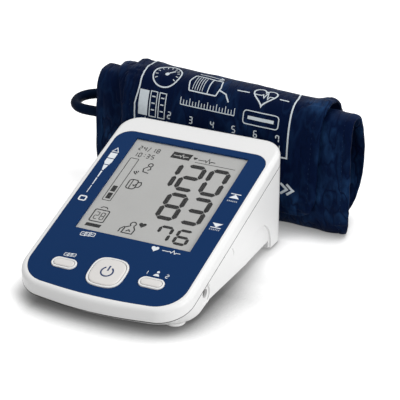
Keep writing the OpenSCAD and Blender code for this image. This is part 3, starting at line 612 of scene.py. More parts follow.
def on_face(height, right=0.0):
    """Lays artwork on the sloping face, this far out of it and to the right."""
    return lambda x, y: FACE @ Vector((x + right, y, height))


# ------------------------------------------------------------------------------- stage

# The camera's place (on the desk) and turn in degrees, as found from the photograph's perspective
CAMERA_PLACE, CAMERA_TURN, SENSOR = (426.77, -805.93, 455.82), (65.429, 0, 26.370), 36
# Lamps and floor in metres; the floor lies just under the feet
KEY_LAMP, KEY_SIZE = (0.25, 0.22, 1.3), 0.8
SIDE_LAMP, SIDE_SIZE = (1.2, -0.3, 0.5), 0.6
FLOOR_SIZE, FLOOR_DROP = 12, 0.00005
# Share of the light that the paper throws back on the object, and its own glow in the picture
BOUNCE, GLOW = 0.72, 0.45


def seen_rays(tree):
    """1 for rays that come from the camera, or through glass, or off a gloss."""
    path = tree.nodes.new("ShaderNodeLightPath")
    last = path.outputs["Is Camera Ray"]
    for ray in ("Is Transmission Ray", "Is Glossy Ray"):
        last = maths(tree, "MAXIMUM", last, path.outputs[ray])
    return last


def contact_shade(tree, reach, source, result, lean=(0.0, 0.0, 1.0)):
    """How white the paper is near what stands on it: reach in metres, lean the side the light comes from."""
    near, facing = tree.nodes.new("ShaderNodeAmbientOcclusion"), tree.nodes.new("ShaderNodeCombineXYZ")
    near.samples = 12
    near.inputs["Distance"].default_value = reach
    for socket, value in zip(facing.inputs, lean):
        socket.default_value = value
    tree.links.new(facing.outputs[0], near.inputs["Normal"])
    return map_range(tree, near.outputs["AO"], source, result, "SMOOTHSTEP")


class MONITOR_OT_stage(bpy.types.Operator):
    """Set up the camera, the pale floor, the surroundings and the lamps"""

    bl_idname = "monitor.stage"
    bl_label = "Stage"

    def execute(self, context):
        settings = context.scene.stage_settings
        select()
        context.scene.view_settings.view_transform = "Standard"
        bpy.ops.object.camera_add(location=DESK @ Vector(CAMERA_PLACE),
                                  rotation=[math.radians(turn) for turn in CAMERA_TURN])
        camera = context.object
        camera.name = "camera"
        camera.data.lens = settings.lens
        camera.data.sensor_width = SENSOR
        camera.data.clip_start = 0.01
        context.scene.camera = camera

        bpy.ops.mesh.primitive_plane_add(size=FLOOR_SIZE, location=(0, 0, -FLOOR_DROP))
        floor = context.object
        floor.name = "floor"
        bpy.ops.object.transform_apply()
        floor.data.materials.append(self.paper())

        self.lamp("key_lamp", KEY_LAMP, KEY_SIZE, settings.key_power)
        self.lamp("side_lamp", SIDE_LAMP, SIDE_SIZE, settings.side_power)
        self.surroundings(context, settings.sky)
        return {"FINISHED"}

    def paper(self):
        """White paper with the object's shadow, which is drawn together under the monitor's front."""
        material = bpy.data.materials.new("floor_paper")
        material.use_nodes = True
        tree = material.node_tree
        nodes, links = tree.nodes, tree.links
        shader, out = nodes["Principled BSDF"], nodes["Material Output"]
        shader.inputs["Roughness"].default_value = 0.9
        shader.inputs["Specular IOR Level"].default_value = 0.0

        # The wide painted shadow lies before the monitor; masks by the paper's place weaken it towards the cuff and at
        # the left side
        lit = contact_shade(tree, 0.075, (0.45, 0.97), (0.30, 0.965), (-0.22, 0.62, 0.75))
        shadow = maths(tree, "SUBTRACT", 1.0, lit)
        place, split = nodes.new("ShaderNodeNewGeometry"), nodes.new("ShaderNodeSeparateXYZ")
        links.new(place.outputs["Position"], split.inputs[0])
        for axis, source, result in (("Y", (-0.04, 0.01), (1.0, 0.15)), ("X", (-0.068, -0.040), (0.05, 1.0))):
            shadow = maths(tree, "MULTIPLY", shadow, map_range(tree, split.outputs[axis], source, result))
        tight = contact_shade(tree, 0.018, (0.25, 1.0), (0.45, 0.965))
        shade = maths(tree, "MULTIPLY", maths(tree, "SUBTRACT", 1.0, shadow), tight)

        # Only the picture shows the drawn shadow; light that the paper throws back stays even
        seen = seen_rays(tree)
        change = maths(tree, "MULTIPLY", maths(tree, "SUBTRACT", shade, BOUNCE), seen)
        links.new(maths(tree, "ADD", change, BOUNCE), shader.inputs["Base Color"])
        glow, both = nodes.new("ShaderNodeEmission"), nodes.new("ShaderNodeAddShader")
        level = maths(tree, "MULTIPLY", maths(tree, "MULTIPLY", shade, GLOW), seen)
        links.new(level, glow.inputs["Strength"])
        links.new(shader.outputs[0], both.inputs[0])
        links.new(glow.outputs[0], both.inputs[1])

        # From under the table the paper is clear, so the underside can be seen
        clear, pick = nodes.new("ShaderNodeBsdfTransparent"), nodes.new("ShaderNodeMixShader")
        links.new(place.outputs["Backfacing"], pick.inputs[0])
        links.new(both.outputs[0], pick.inputs[1])
        links.new(clear.outputs[0], pick.inputs[2])
        links.new(pick.outputs[0], out.inputs["Surface"])
        return material

    def lamp(self, name, place, size, power):
        """A square lamp that shines at the middle of the object."""
        bpy.ops.object.light_add(type="AREA", location=place)
        lamp = bpy.context.object
        lamp.name = name
        lamp.data.size = size
        lamp.data.energy = power
        lamp.rotation_euler = (-Vector(place)).to_track_quat("-Z", "Y").to_euler()

    def surroundings(self, context, sky):
        """Even pale light all round, which is white where it is seen."""
        world = bpy.data.worlds.new("surroundings")
        context.scene.world = world
        world.use_nodes = True
        tree = world.node_tree
        background = tree.nodes["Background"]
        background.inputs["Color"].default_value = (1, 1, 1, 1)
        level = map_range(tree, seen_rays(tree), (0.0, 1.0), (sky, 1.0))
        tree.links.new(level, background.inputs["Strength"])


# ------------------------------------------------------------------------------- hose

# The hank's runs lie one behind the other, HANK_STEP apart, between end bends of HANK_RADIUS
HANK_Y, HANK_STEP, HANK_RADIUS, HANK_LOW, HANK_RIGHT = 95, 7.2, 17, 12, 44
HANK_TOP = HANK_LOW + 2 * HANK_RADIUS
PLUG_AT = (0, HANK_Y - HANK_STEP / 2, 19.6)
# The shown bend at the roll's left end, from the cuff's port, and the way down to the hank
BEND_ROUTE = [
    (-83, 83.4, 48.5), (-89, 83.4, 48.5), (-94, 83.4, 48.5), (-98, 84, 48.5), (-102, 86, 48.6),
    (-105.4, 89.4, 48.8), (-107.2, 94, 49), (-107.4, 98.5, 49.3), (-105.8, 103, 49.5),
    (-102.6, 106.5, 49.7), (-98.5, 108.7, 49.8), (-94, 109.2, 49.6), (-86, 108.6, 48.4),
    (-78, 107, 45.6), (-70, 104.6, 41.4), (-62, 101.8, 36.2), (-54, 99.2, 30.6), (-46, 97.2, 25),
    (-38, 95.9, 19.8), (-30, 95.2, 15.6), (-22, 95, 13), (-14, 95, 12.1)]


def half_turn(side, y, last=9):
    """Points of one of the hank's end bends."""
    turns = [math.radians(18 * k - 90) for k in range(1, last + 1)]
    return [(side * (HANK_RIGHT + HANK_RADIUS * math.cos(a)), y,
             HANK_LOW + HANK_RADIUS + side * HANK_RADIUS * math.sin(a)) for a in turns]


def hank_route():
    """The stowed hose: a run, a bend, the run back, a bend, the second layer and the tail to the plug."""
    back = HANK_Y - HANK_STEP
    route = [(x, HANK_Y, HANK_LOW) for x in (-7, 8, 26, HANK_RIGHT)] + half_turn(1, HANK_Y)
    route += [(x, HANK_Y, HANK_TOP) for x in (HANK_RIGHT, 20)]
    route += [(-HANK_RIGHT * k / 4, HANK_Y - HANK_STEP * ease(k / 4), HANK_TOP) for k in range(5)]
    route += half_turn(-1, back) + [(x, back, HANK_LOW) for x in (-HANK_RIGHT, -20, 20, HANK_RIGHT)]
    route += half_turn(1, back, 5)
    route += [(48 + 13 * math.cos(math.radians(a)), back, 42 + 13 * (math.sin(math.radians(a)) - 1))
              for a in range(18, 73, 18)]
    route += [(blend_to(48, 6.5, k / 7), HANK_Y - HANK_STEP * (1 - ease(k / 7) / 2), blend_to(42, 19.6, k / 7))
              for k in range(8)]
    return route + [PLUG_AT]


class MONITOR_OT_hose(bpy.types.Operator):
    """Lay the air hose from the cuff's port through its bend into the stowed hank"""

    bl_idname = "monitor.hose"
    bl_label = "Air Hose"

    def execute(self, context):
        settings = context.scene.cuff_settings
        route = [DESK @ Vector(p) for p in BEND_ROUTE + hank_route()]
        curve = round_curve("air_hose", settings.hose_diameter / 2, 6, True)
        curve.resolution_u = 6
        spline = curve.splines.new("BEZIER")
        spline.bezier_points.add(len(route) - 1)
        for point, place in zip(spline.bezier_points, route):
            point.co = place
            point.handle_left_type = point.handle_right_type = "AUTO"
        hose = new_object("air_hose", curve)
        curve.materials.append(finish_of("hose_rubber"))
        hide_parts("hose_bend", "hose_hank")
        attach(hose, "cuff")
        plug = self.plug()
        length = sum(math.dist(a, b) for a, b in zip(route, route[1:]))
        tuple(route[0])
        return {"FINISHED"}

    def plug(self):
        """The hose's plug: a ribbed grip, a shoulder and a nozzle with two sealing rings, spun round its axis."""
        profile = [(0.6, 0.0), (0.6, 3.6), (0, 4.1), (-1, 4.6)]
        for rib in range(5):
            x = -2.4 - 2.2 * rib
            profile += [(x + 0.5, 4.75), (x, 4.3), (x - 0.9, 4.3), (x - 1.3, 4.75)]
        profile += [(-13.6, 4.75), (-14, 4.4), (-14.1, 3.9), (-16.3, 3.9), (-16.5, 3.6), (-16.6, 2.85), (-18.4, 2.85),
                    (-18.6, 2.6), (-19.4, 2.6), (-19.6, 2.9), (-21.8, 2.9), (-22, 2.6), (-22.8, 2.6), (-23, 2.85),
                    (-25.4, 2.7), (-26, 2.2), (-26, 1.5), (-20, 1.5), (-20, 0.0)]
        made = spun("hose_plug_grip", profile, 32)
        made.data.transform(DESK @ Matrix.Translation(PLUG_AT))
        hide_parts("hose_plug")
        return finish(made, "cuff", "dark_plastic")


def spun(name, profile, steps):
    """A closed shape turned round X from a profile of (x, radius)."""
    select()
    bpy.ops.mesh.primitive_plane_add(size=1)
    piece = bpy.context.object
    piece.name = piece.data.name = name
    shape = bmesh.new()
    last = None
    for x, r in profile:
        point = shape.verts.new((x, 0, r))
        if last:
            shape.edges.new((last, point))
        last = point
    shape.to_mesh(piece.data)
    shape.free()
    bpy.ops.object.mode_set(mode="EDIT")
    bpy.ops.mesh.select_all(action="SELECT")
    bpy.ops.mesh.spin(steps=steps, angle=math.tau, center=(0, 0, 0), axis=(1, 0, 0))
    bpy.ops.mesh.select_all(action="SELECT")
    bpy.ops.mesh.remove_doubles(threshold=0.001)
    bpy.ops.mesh.normals_make_consistent(inside=False)
    bpy.ops.object.mode_set(mode="OBJECT")
    return piece


# ------------------------------------------------------------------------------- shells and panel

# Heights on the face's frame: the key collars' tops, the face, the upper shell's rim and the lower shell's
COLLAR_TOP, FACE_LEVEL, UPPER_RIM, LOWER_RIM = 0.7, 0, -8, -8.2
# Half widths of the panel and of the housing
PANEL_HALF, WALL = 49.8, 53
# The dark strip just inside the seam, a sheet of painted shade in its groove: its width and thickness, and how far
# inside the rim it lies, less at the front
SEAM_SHADE_WIDE, SEAM_SHADE_THICK, SEAM_SHADE_INSET, SEAM_SHADE_INSET_FRONT = 0.6, 0.40, 0.26, 0.12
# A front foot's soft lower edge, as (height, radius)
FOOT_PROFILE = ((0.25, 0), (0.25, 3.6), (0, 4.1), (0.02, 4.8), (0.25, 5.35), (0.7, 5.75))


def merged_copy(node, name):
    """A copy of a CAD node's mesh as one welded skin of flat faces."""
    source = frame["nodes"][node]
    piece = new_object(name, source.data.copy())
    piece.data.name = name
    select(piece)
    if piece.data.has_custom_normals:
        bpy.ops.mesh.customdata_custom_splitnormals_clear()
    bpy.ops.object.mode_set(mode="EDIT")
    bpy.ops.mesh.select_all(action="SELECT")
    bpy.ops.mesh.remove_doubles(threshold=0.000002)
    bpy.ops.mesh.dissolve_limited(angle_limit=math.radians(0.4), delimit={"NORMAL"})
    bpy.ops.mesh.select_all(action="DESELECT")
    bpy.ops.object.mode_set(mode="OBJECT")
    return piece


def round_edges(piece, chosen, width, segments=2, sharp=30.0):
    """Bevels the sharp edges for which chosen(first end, second end) holds; ends in millimetres on the face."""
    select(piece)
    bpy.ops.object.mode_set(mode="EDIT")
    bpy.ops.mesh.select_mode(type="EDGE")
    bpy.ops.mesh.select_all(action="DESELECT")
    mesh = bmesh.from_edit_mesh(piece.data)
    to_face = FACE.inverted()
    spot = {vertex: to_face @ vertex.co for vertex in mesh.verts}
    for edge in mesh.edges:
        if len(edge.link_faces) == 2 and edge.calc_face_angle() > math.radians(sharp):
            edge.select_set(chosen(*(spot[v] for v in edge.verts)))
    bmesh.update_edit_mesh(piece.data)
    bpy.ops.mesh.bevel(offset=width, segments=segments, profile=0.5, clamp_overlap=True)
    bpy.ops.mesh.select_all(action="DESELECT")
    bpy.ops.object.mode_set(mode="OBJECT")


def at_level(level, slack=0.03):
    """Chooses edges that lie at one height of the face's frame."""
    return lambda a, b: abs(a.z - level) < slack and abs(b.z - level) < slack


class MONITOR_OT_shells(bpy.types.Operator):
    """Dress the two shells and the feet with rounded edges"""

    bl_idname = "monitor.shells"
    bl_label = "Shells"

    def execute(self, context):
        width = context.scene.monitor_settings.edge_round
        upper = merged_copy("upper_shell", "upper_housing")
        self.seam(upper)
        round_edges(upper, at_level(UPPER_RIM), width * 0.6)
        round_edges(upper, at_level(COLLAR_TOP), 0.00042, 3)
        round_edges(upper, lambda a, b: at_level(FACE_LEVEL)(a, b) and max(abs(a.x), abs(b.x)) < PANEL_HALF, 0.00012)
        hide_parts("upper_shell")
        finish(upper, "monitor", "white_plastic", flat_first=True)

        lower = merged_copy("lower_shell", "lower_housing")
        round_edges(lower, at_level(LOWER_RIM), width * 0.6)
        to_desk = DESK.inverted() @ FACE

        def outside(a, b):
            """The edges of the side walls' hollows and feet."""
            a, b = to_desk @ a, to_desk @ b
            return min(abs(a.x), abs(b.x)) > WALL - 2.5 and max(a.z, b.z) < 30

        round_edges(lower, outside, width * 1.3, 3)
        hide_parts("lower_shell")
        finish(lower, "monitor", "white_plastic", flat_first=True)
        self.wall_marks()
        for node in ("front_foot_left", "front_foot_right"):
            self.foot(node)
        return {"FINISHED"}

    def foot(self, node):
        """A round front foot with a soft lower edge, spun upright in its node's place."""
        low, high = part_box(node)
        tall = (high.z - low.z) * 1000
        foot = spun(node + "_nub", [*FOOT_PROFILE, (tall - 0.3, 5.9), (tall, 5.7), (tall, 0)], 40)
        foot.data.transform(Matrix.Translation(((low.x + high.x) / 2, (low.y + high.y) / 2, low.z))
                            @ Matrix.Scale(0.001, 4) @ Matrix.Rotation(math.radians(-90), 4, "Y"))
        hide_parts(node)
        finish(foot, "monitor", "white_plastic", 50)

    def seam(self, upper):
        """A dark strip just inside the seam that runs round the housing, painted shade between the two shells."""
        to_face = FACE.inverted()
        points = [to_face @ vertex.co for vertex in upper.data.vertices]
        rim = [(p.x, p.y) for p in points if abs(p.z - UPPER_RIM) < 0.03]
        rim = [rim[k] for k in convex_hull_2d(rim)]
        low, high = min(y for _, y in rim), max(y for _, y in rim)
        middle, half = (low + high) / 2, (high - low) / 2
        route = []
        for x, y in rim:
            inset = SEAM_SHADE_INSET if y > middle else SEAM_SHADE_INSET_FRONT
            route.append((x * (1 - SEAM_SHADE_INSET / WALL), middle + (y - middle) * (1 - inset / half)))
        seam_shade_strip = Artwork()
        seam_shade_strip.line(route, SEAM_SHADE_WIDE, True)
        # The strip's dark rubber colour is painted shade in the seam's groove
        finish(seam_shade_strip.piece("shell_seam_shade_strip", on_face((UPPER_RIM + LOWER_RIM) / 2), SEAM_SHADE_THICK), "monitor", "dark_rubber")

    def wall_marks(self):
        """The raised crescent behind the jack and the small arc for a finger, on the right side wall."""
        routes = []
        for crescent in (arc(-45.2, 11.2, 5.5, 62, -80, 18), arc(-14.6, 20.2, 5.5, 62, -12, 12)):
            last = len(crescent) - 1
            routes.append([((WALL - 0.02, y, h), max(0.15, math.sin(math.pi * k / last) ** 0.5))
                           for k, (y, h) in enumerate(crescent)])
        ridges = wire_piece("side_wall_ridges", routes, 0.0006, 3, True)
        finish(ridges, "monitor", "white_plastic", 60)


class MONITOR_OT_panel(bpy.types.Operator):
    """Fit the blue face panel and print its signs"""

    bl_idname = "monitor.panel"
    bl_label = "Face Panel"

    def execute(self, context):
        panel = merged_copy("face_panel", "blue_panel_plate")
        round_edges(panel, at_level(FACE_LEVEL), 0.00012)
        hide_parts("face_panel")
        finish(panel, "monitor", "blue_panel", flat_first=True)

        signs = Artwork()
        self.scale_column(signs, -43.1)
        for y, up in ((13.5, 1), (-10.8, -1)):
            self.pressure_sign(signs, 42.9, y, up)
        self.cards(signs, -25.5, -38.3, 1.0)
        signs.heart(17.2, -38, 4.6)
        signs.pulse(21.8, 33, -38.1, 1.5, 0.45)
        self.cards(signs, -27.4, -56.2, 0.8)
        signs.digit("1", 20.2, -57.6, 1.6, 3, 0.5)
        self.figure(signs, 27.4, -56.1, 1.0)
        signs.digit("2", 32.6, -57.6, 2, 3, 0.5)
        finish(signs.piece("panel_signs", on_face(0.02), 0.03), "monitor", "blue_panel",
               material=finish_of("panel_print"))
        return {"FINISHED"}

    def scale_column(self, signs, x):
        """A scale beside the display that tapers down to a thin line, a small triangle over it."""
        signs.line([(x - 2, 30.4), (x + 2, 30.4), (x, 33.9)], 0.55, True)
        signs.shape([(x - 1.6, 18.9), (x + 1.6, 18.9), (x + 2.3, 21), (x + 2.3, 23.9), (x - 2.3, 23.9), (x - 2.3, 21)])
        for low, high, foot, head in ((24.6, 29.2, 2.3, 2.3), (13.6, 18.2, 0.5, 1.5), (7.4, 12.8, 0.38, 0.5),
                                      (0.6, 6.6, 0.28, 0.38), (-6.6, -0.2, 0.2, 0.28)):
            signs.shape([(x - foot, low), (x + foot, low), (x + head, high), (x - head, high)])
        signs.line(rounded_box(x - 2.1, x + 2.1, -13.4, -9.9, 0.8), 0.9, True)

    def pressure_sign(self, signs, x, y, up):
        """An arrowhead on a bar, over a row of short ticks."""
        signs.shape([(x - 3.2, y - 1.4 * up), (x + 3.2, y - 1.4 * up), (x, y + 1.8 * up)])
        signs.line([(x - 3.2, y + 2.2 * up), (x + 3.2, y + 2.2 * up)], 0.6)
        for k in range(6):
            signs.line([(x - 2.8 + k * 1.12, y - 4.3), (x - 2.8 + k * 1.12, y - 3.3)], 0.35)

    def cards(self, signs, x, y, size):
        """A stack of three cards, for stored readings."""
        for k in range(3):
            a, b = x + (k - 1) * 2.6 * size, y + (k - 1) * 0.35 * size
            signs.line(rounded_box(a - 1.7 * size, a + 1.7 * size, b - 1.35 * size, b + 1.35 * size, 0.4 * size),
                       0.42 * size, True)
            signs.line([(a - 0.9 * size, b), (a + 0.9 * size, b)], 0.35 * size)

    def figure(self, signs, x, y, size):
        """A head over shoulders."""
        signs.shape(arc(x, y + 1.7 * size, 0.85 * size, 0, 345, 23))
        signs.shape(arc(x, y - 1.5 * size, 1.75 * size, 0, 180, 16))


# ------------------------------------------------------------------------------- display

# Middle of the display across the face, height of its figures on the face's frame, and the large figures'
# height, bar width and pitch
DISPLAY_MIDDLE, FIGURE_LEVEL = 4.9, -1.27
FIGURE = (23.5, 3.5, 15.5)


class MONITOR_OT_display(bpy.types.Operator):
    """Fill the display with its large figures and small signs"""

    bl_idname = "monitor.display"
    bl_label = "Display"

    def execute(self, context):
        art = Artwork()
        art.number("1", -6.2, 10.5, 3.8, *FIGURE)
        for marks, y in (("20", 10.5), ("83", -14.5)):
            art.number(marks, -1.5, y, 14, *FIGURE)
        art.number("76", 6, -31, 9.7, 13, 2.3, 11.8)
        art.line([(2, 35.9), (28, 35.9)], 0.4)
        self.clock(art, -36.5)
        self.bar_graph(art, -37.2)
        self.signs(art)
        finish(art.piece("display_figures", on_face(FIGURE_LEVEL, DISPLAY_MIDDLE), 0.02), "monitor", "display_grey",
               material=finish_of("display_print"))

        light = Artwork()
        light.pulse(-13.2, -3.4, 38.6, 1.7, 0.5)
        badge = light.piece("display_badge_line", on_face(FIGURE_LEVEL + 0.025, DISPLAY_MIDDLE), 0.02)
        finish(badge, "monitor", "display_grey")
        return {"FINISHED"}

    def clock(self, art, x):
        """Day and time in small figures, with a stroke and a colon in their gaps."""
        for marks, left, low, close in (("24 18", x, 37, 0.4), ("10 35", x - 0.6, 31.2, 0.8)):
            for k, mark in enumerate(marks):
                if mark != " ":
                    art.digit(mark, left + 3.05 * k - close * (k > 2), low, 2.3, 4, 0.68)
        art.line([(x + 6.5, 37), (x + 7.5, 41)], 0.5)
        for y in (32.2, 33.9):
            art.shape(rounded_box(x + 6.3, x + 6.9, y, y + 0.6, 0.25, 3))

    def bar_graph(self, art, x):
        """A tall frame with two filled blocks near its foot."""
        art.line(rounded_box(x, x + 5.4, -8.4, 29.4, 0.6), 0.45, True)
        art.shape(rounded_box(x + 1.2, x + 4.2, -0.6, 4.4, 0.2))
        art.shape(rounded_box(x + 1.2, x + 4.2, -6.8, -1.8, 0.2))

    def signs(self, art):
        """The small signs."""
        # A filled badge, a heart and a pulse in the top row
        art.shape([(-14.6, 36.1), (-2.2, 36.1), (-1.6, 41.5), (-14, 41.5)])
        art.heart(0.9, 39, 2.6)
        art.pulse(3, 14, 38.4, 2.2, 0.62)
        # A seated figure beside sound waves, and a cuff's ring with its hose
        art.line(arc(-22.4, 26.4, 1.4, 0, 330, 14), 0.72, True)
        art.line([(-23.4, 24.6), (-25.2, 22.6), (-24.6, 20), (-20.8, 19.4)], 0.72)
        art.line([(-21.5, 24.7), (-20.9, 22.8), (-22.4, 21.8)], 0.72)
        for r in (1.4, 2.6, 3.8):
            art.line(arc(-26.2, 20.4, r, 200, 250, 6), 0.74)
        art.line(rounded_box(-28.6, -23, 4.4, 12.2, 1.6), 0.72, True)
        art.line([(-26.6, 4.4), (-26.6, 12.2)], 0.62)
        art.line([(-23, 10.4), (-21, 11), (-20.2, 9), (-21, 6.6), (-23, 6.2)], 0.72)
        art.line([(-25.2, 8.2), (-24.4, 7.2), (-22.9, 9.3)], 0.72)
        # Stored reading's number in its frame, with a tab under it
        art.line(rounded_box(-36.6, -27.4, -26.4, -16.6, 1), 0.72, True)
        art.number("28", -35.2, -24.6, 2.8, 6.2, 0.6, 3.7)
        art.line([(-34.4, -15.2), (-33.2, -14), (-30.8, -14), (-29.6, -15.2)], 0.62)
        art.shape([(-37, -30.8), (-27.4, -30.8), (-27, -28.2), (-36.6, -28.2)])
        # Two readers' outlines
        art.line(arc(-9.4, -22.4, 1.7, -60, 240, 14), 0.74)
        art.line([(-10.4, -24), (-13, -25.6), (-13.6, -30.2), (-7, -30.2), (-6.6, -26.6),
                  (-8.4, -24)], 0.74)
        art.line([(-13.4, -25.2), (-15.4, -27.4), (-15.6, -30.2)], 0.74)
        art.line([(-11.4, -28.8), (-10, -27.2), (-8.8, -28.6)], 0.72)
        art.heart(-4, -21.6, 4.6)


# ------------------------------------------------------------------------------- keys

# The keycaps' flange, and the heights of their foot and top on the face's frame
KEY_FLANGE, KEY_FOOT, KEY_TOP = 1.6, -4.2, 0.95


def squircle(width, steps=64):
    """Outline of a square with bulging sides and very round corners."""
    points = []
    for k in range(steps):
        a = math.tau * k / steps
        r = width / 2 / (abs(math.cos(a)) ** 3 + abs(math.sin(a)) ** 3) ** (1 / 3)
        points.append((r * math.cos(a), r * math.sin(a)))
    return points


def pill(width, height, steps=16):
    """Outline of a bar with round ends."""
    reach = (width - height) / 2
    return arc(reach, 0, height / 2, -90, 90, steps) + arc(-reach, 0, height / 2, 90, 270, steps)


def raised_key(name, outline, rounding, dome):
    """A keycap: a flange, a straight skirt, a rounded edge and a gently domed top, pulled up from one outline."""
    flange, base, top = KEY_FLANGE, KEY_FOOT, KEY_TOP
    select()
    bpy.ops.mesh.primitive_circle_add(vertices=len(outline), radius=1, fill_type="NGON", location=(0, 0, 0))
    piece = bpy.context.object
    piece.name = piece.data.name = name
    for vertex, (x, y) in zip(piece.data.vertices, outline):
        vertex.co = (x, y, base)
    half = max(x for x, _ in outline), max(y for _, y in outline)
    bpy.ops.object.mode_set(mode="EDIT")
    bpy.ops.mesh.select_all(action="SELECT")
    bpy.ops.transform.resize(value=[(h + flange) / h for h in half] + [1], center_override=(0, 0, base))
    drawn, height = -flange, base
    stops = [(-flange, base + 0.9), (0, base + 0.9), (0, top - rounding)]
    for k in range(1, 5):
        a = math.radians(22.5 * k)
        stops.append((rounding * (1 - math.cos(a)), top - rounding * (1 - math.sin(a))))
    rise = dome * 1000
    stops += [(rounding + min(half) * share, top + rise * (1 - (1 - share) ** 2)) for share in (0.1, 0.25, 0.45, 0.7)]
    for inset, level in stops:
        bpy.ops.mesh.extrude_region_move(TRANSFORM_OT_translate={"value": (0, 0, level - height)})
        factors = [(h - inset) / (h - drawn) for h in half]
        bpy.ops.transform.resize(value=factors + [1], center_override=(0, 0, level))
        drawn, height = inset, level
    bpy.ops.mesh.select_all(action="SELECT")
    bpy.ops.mesh.normals_make_consistent(inside=False)
    bpy.ops.object.mode_set(mode="OBJECT")
    return piece


class MONITOR_OT_keys(bpy.types.Operator):
    """Shape the three keycaps and print the start key's sign"""

    bl_idname = "monitor.keys"
    bl_label = "Keys"

    def execute(self, context):
        dome = context.scene.monitor_settings.key_dome
        start = raised_key("start_keycap", squircle(19.4), 0.7, dome)
        self.fit(start, 0, -63, "start_button", "start_key")
        for x, node, body, name in ((-27.4, "memory_button", "memory_key", "memory_keycap"),
                                    (27.4, "user_button", "user_key", "user_keycap")):
            cap = raised_key(name, pill(12.7, 4.9), 0.6, dome / 2)
            self.fit(cap, x, -63.25, node, body)
        sign = Artwork()
        sign.line(arc(0, -63.2, 3.5, 122, 418, 40), 0.95)
        sign.line([(0, -62.6), (0, -58.6)], 0.95)
        finish(sign.piece("start_key_sign", on_face(KEY_TOP + dome * 1000 + 0.012), 0.02), "start_key",
               "button_white", material=finish_of("key_print"))
        return {"FINISHED"}

    def fit(self, cap, x, y, node, body):
        """Moves a keycap to its place on the face, in place of its node."""
        cap.data.transform(FACE @ Matrix.Translation((x, y, 0)))
        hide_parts(node)
        finish(cap, body, "button_white", 40)


# ------------------------------------------------------------------------------- cuff

# The strip is wound inwards from the flap's end: angles in degrees, a turn goes TURN_STEP deeper
CLOTH_TURNS = 864.0
TURN_STEP, FLAP_ANGLE = 3.0, 220.0
# The roll's height, half depth, middle from front to back, and belly, at its left and its right end
ROLL_TALL, ROLL_DEEP, ROLL_MIDDLE, ROLL_BELLY = (83.8, 77.8), (25.5, 20.5), (92, 86.5), (4, 2.5)
# Where the strip's edges run on the inner turns, the middle turn and the flap
INNER_LEFT, MIDDLE_RIGHT, FLAP_LEFT, FLAP_RIGHT = -84.0, 89.0, -62.0, 69.0
# Turned angle, and the strip's left and right edge there
EDGES = ((0, FLAP_LEFT, FLAP_RIGHT), (200, FLAP_LEFT, FLAP_RIGHT + 3), (380, FLAP_LEFT, MIDDLE_RIGHT),
         (560, INNER_LEFT + 6, MIDDLE_RIGHT - 3), (740, INNER_LEFT, MIDDLE_RIGHT - 19),
         (900, INNER_LEFT, MIDDLE_RIGHT - 21))
# Radius of the flap's corners, the seam's distance from the edge, and the thickness of a ply
CORNER, HEM, PLY = 14.0, 5.0, 0.4
# Stitches lie this far apart, each this long to either side; the last are at this turned angle
STITCH_STEP, STITCH_HALF, STITCHED = 3.2, 1.1, 620


def signed_power(value, exponent):
    """The power of a value's size, with its sign."""
    return math.copysign(abs(value) ** exponent, value)


def edge_at(turned, side):
    """Where the strip's left (1) or right (2) edge runs at this turned angle."""
    k = max(k for k in range(5) if turned >= EDGES[k][0])
    return blend_to(EDGES[k][side], EDGES[k + 1][side],
                    ease((turned - EDGES[k][0]) / (EDGES[k + 1][0] - EDGES[k][0])))


def corner_in(turned):
    """How far the flap's rounded corners draw its edges in."""
    reach = turned * 0.5
    return 0 if reach >= CORNER else CORNER - math.sqrt(CORNER ** 2 - (CORNER - reach) ** 2)


def roll_point(x, angle, depth):
    """A point of the roll at x and angle, depth under its skin, on the desk."""
    share = (x - INNER_LEFT) / (MIDDLE_RIGHT - INNER_LEFT)
    tall = blend_to(*ROLL_TALL, share) / 2 + 2.1
    deep, middle, belly = (blend_to(*ends, share) for ends in (ROLL_DEEP, ROLL_MIDDLE, ROLL_BELLY))
    base = tall - TURN_STEP * (FLAP_ANGLE + 90) / 360 - 0.5
    a = math.radians(angle)
    return (x, middle + (deep - depth) * signed_power(math.cos(a), 0.75) + belly * math.cos(a) ** 2,
            max(PLY / 2, base + (tall - depth) * signed_power(math.sin(a), 0.9)))


def billow(x, turned, crease):
    """How far the cloth stands out of the plain roll: folds that all turns share, and each turn's own."""
    angle = FLAP_ANGLE - turned
    a = math.radians(angle)
    around = Vector((math.cos(a) * 1.3, math.sin(a) * 1.3, 0))
    slow = noise.noise(Vector((x / 30, around.x, around.y)))
    fold = noise.noise(Vector((x / 7.5 + 11, around.x * 0.9, around.y * 0.9 + 4)))
    own = noise.noise(Vector((x / 12 + 5, turned / 16, 2.5)))
    shift = crease * (1.0 * slow + 0.85 * fold + 0.45 * own)
    if turned < 380:
        # The outer turn is looser; its printed middle is stiff and smooth, and its flap crumples near the seams
        near = min(x - edge_at(turned, 1), edge_at(turned, 2) - x)
        shift *= 1 - 0.6 * ease((near - 8) / 14)
        gather = math.exp(-((near - HEM) / 7) ** 2)
        ripple = noise.noise(Vector((x / 14, turned / 5.5, 8.1)))
        shift += crease * (0.5 + 1.2 * gather * ripple)
    return shift


def flap_lift(x, turned, lift):
    """The flap's right edge stands off near the top of the roll."""
    if turned > 230:
        return 0.0
    side = ease((x - 50) / 19)
    return lift * side * side * math.exp(-((FLAP_ANGLE - turned - 88) / 30) ** 2)


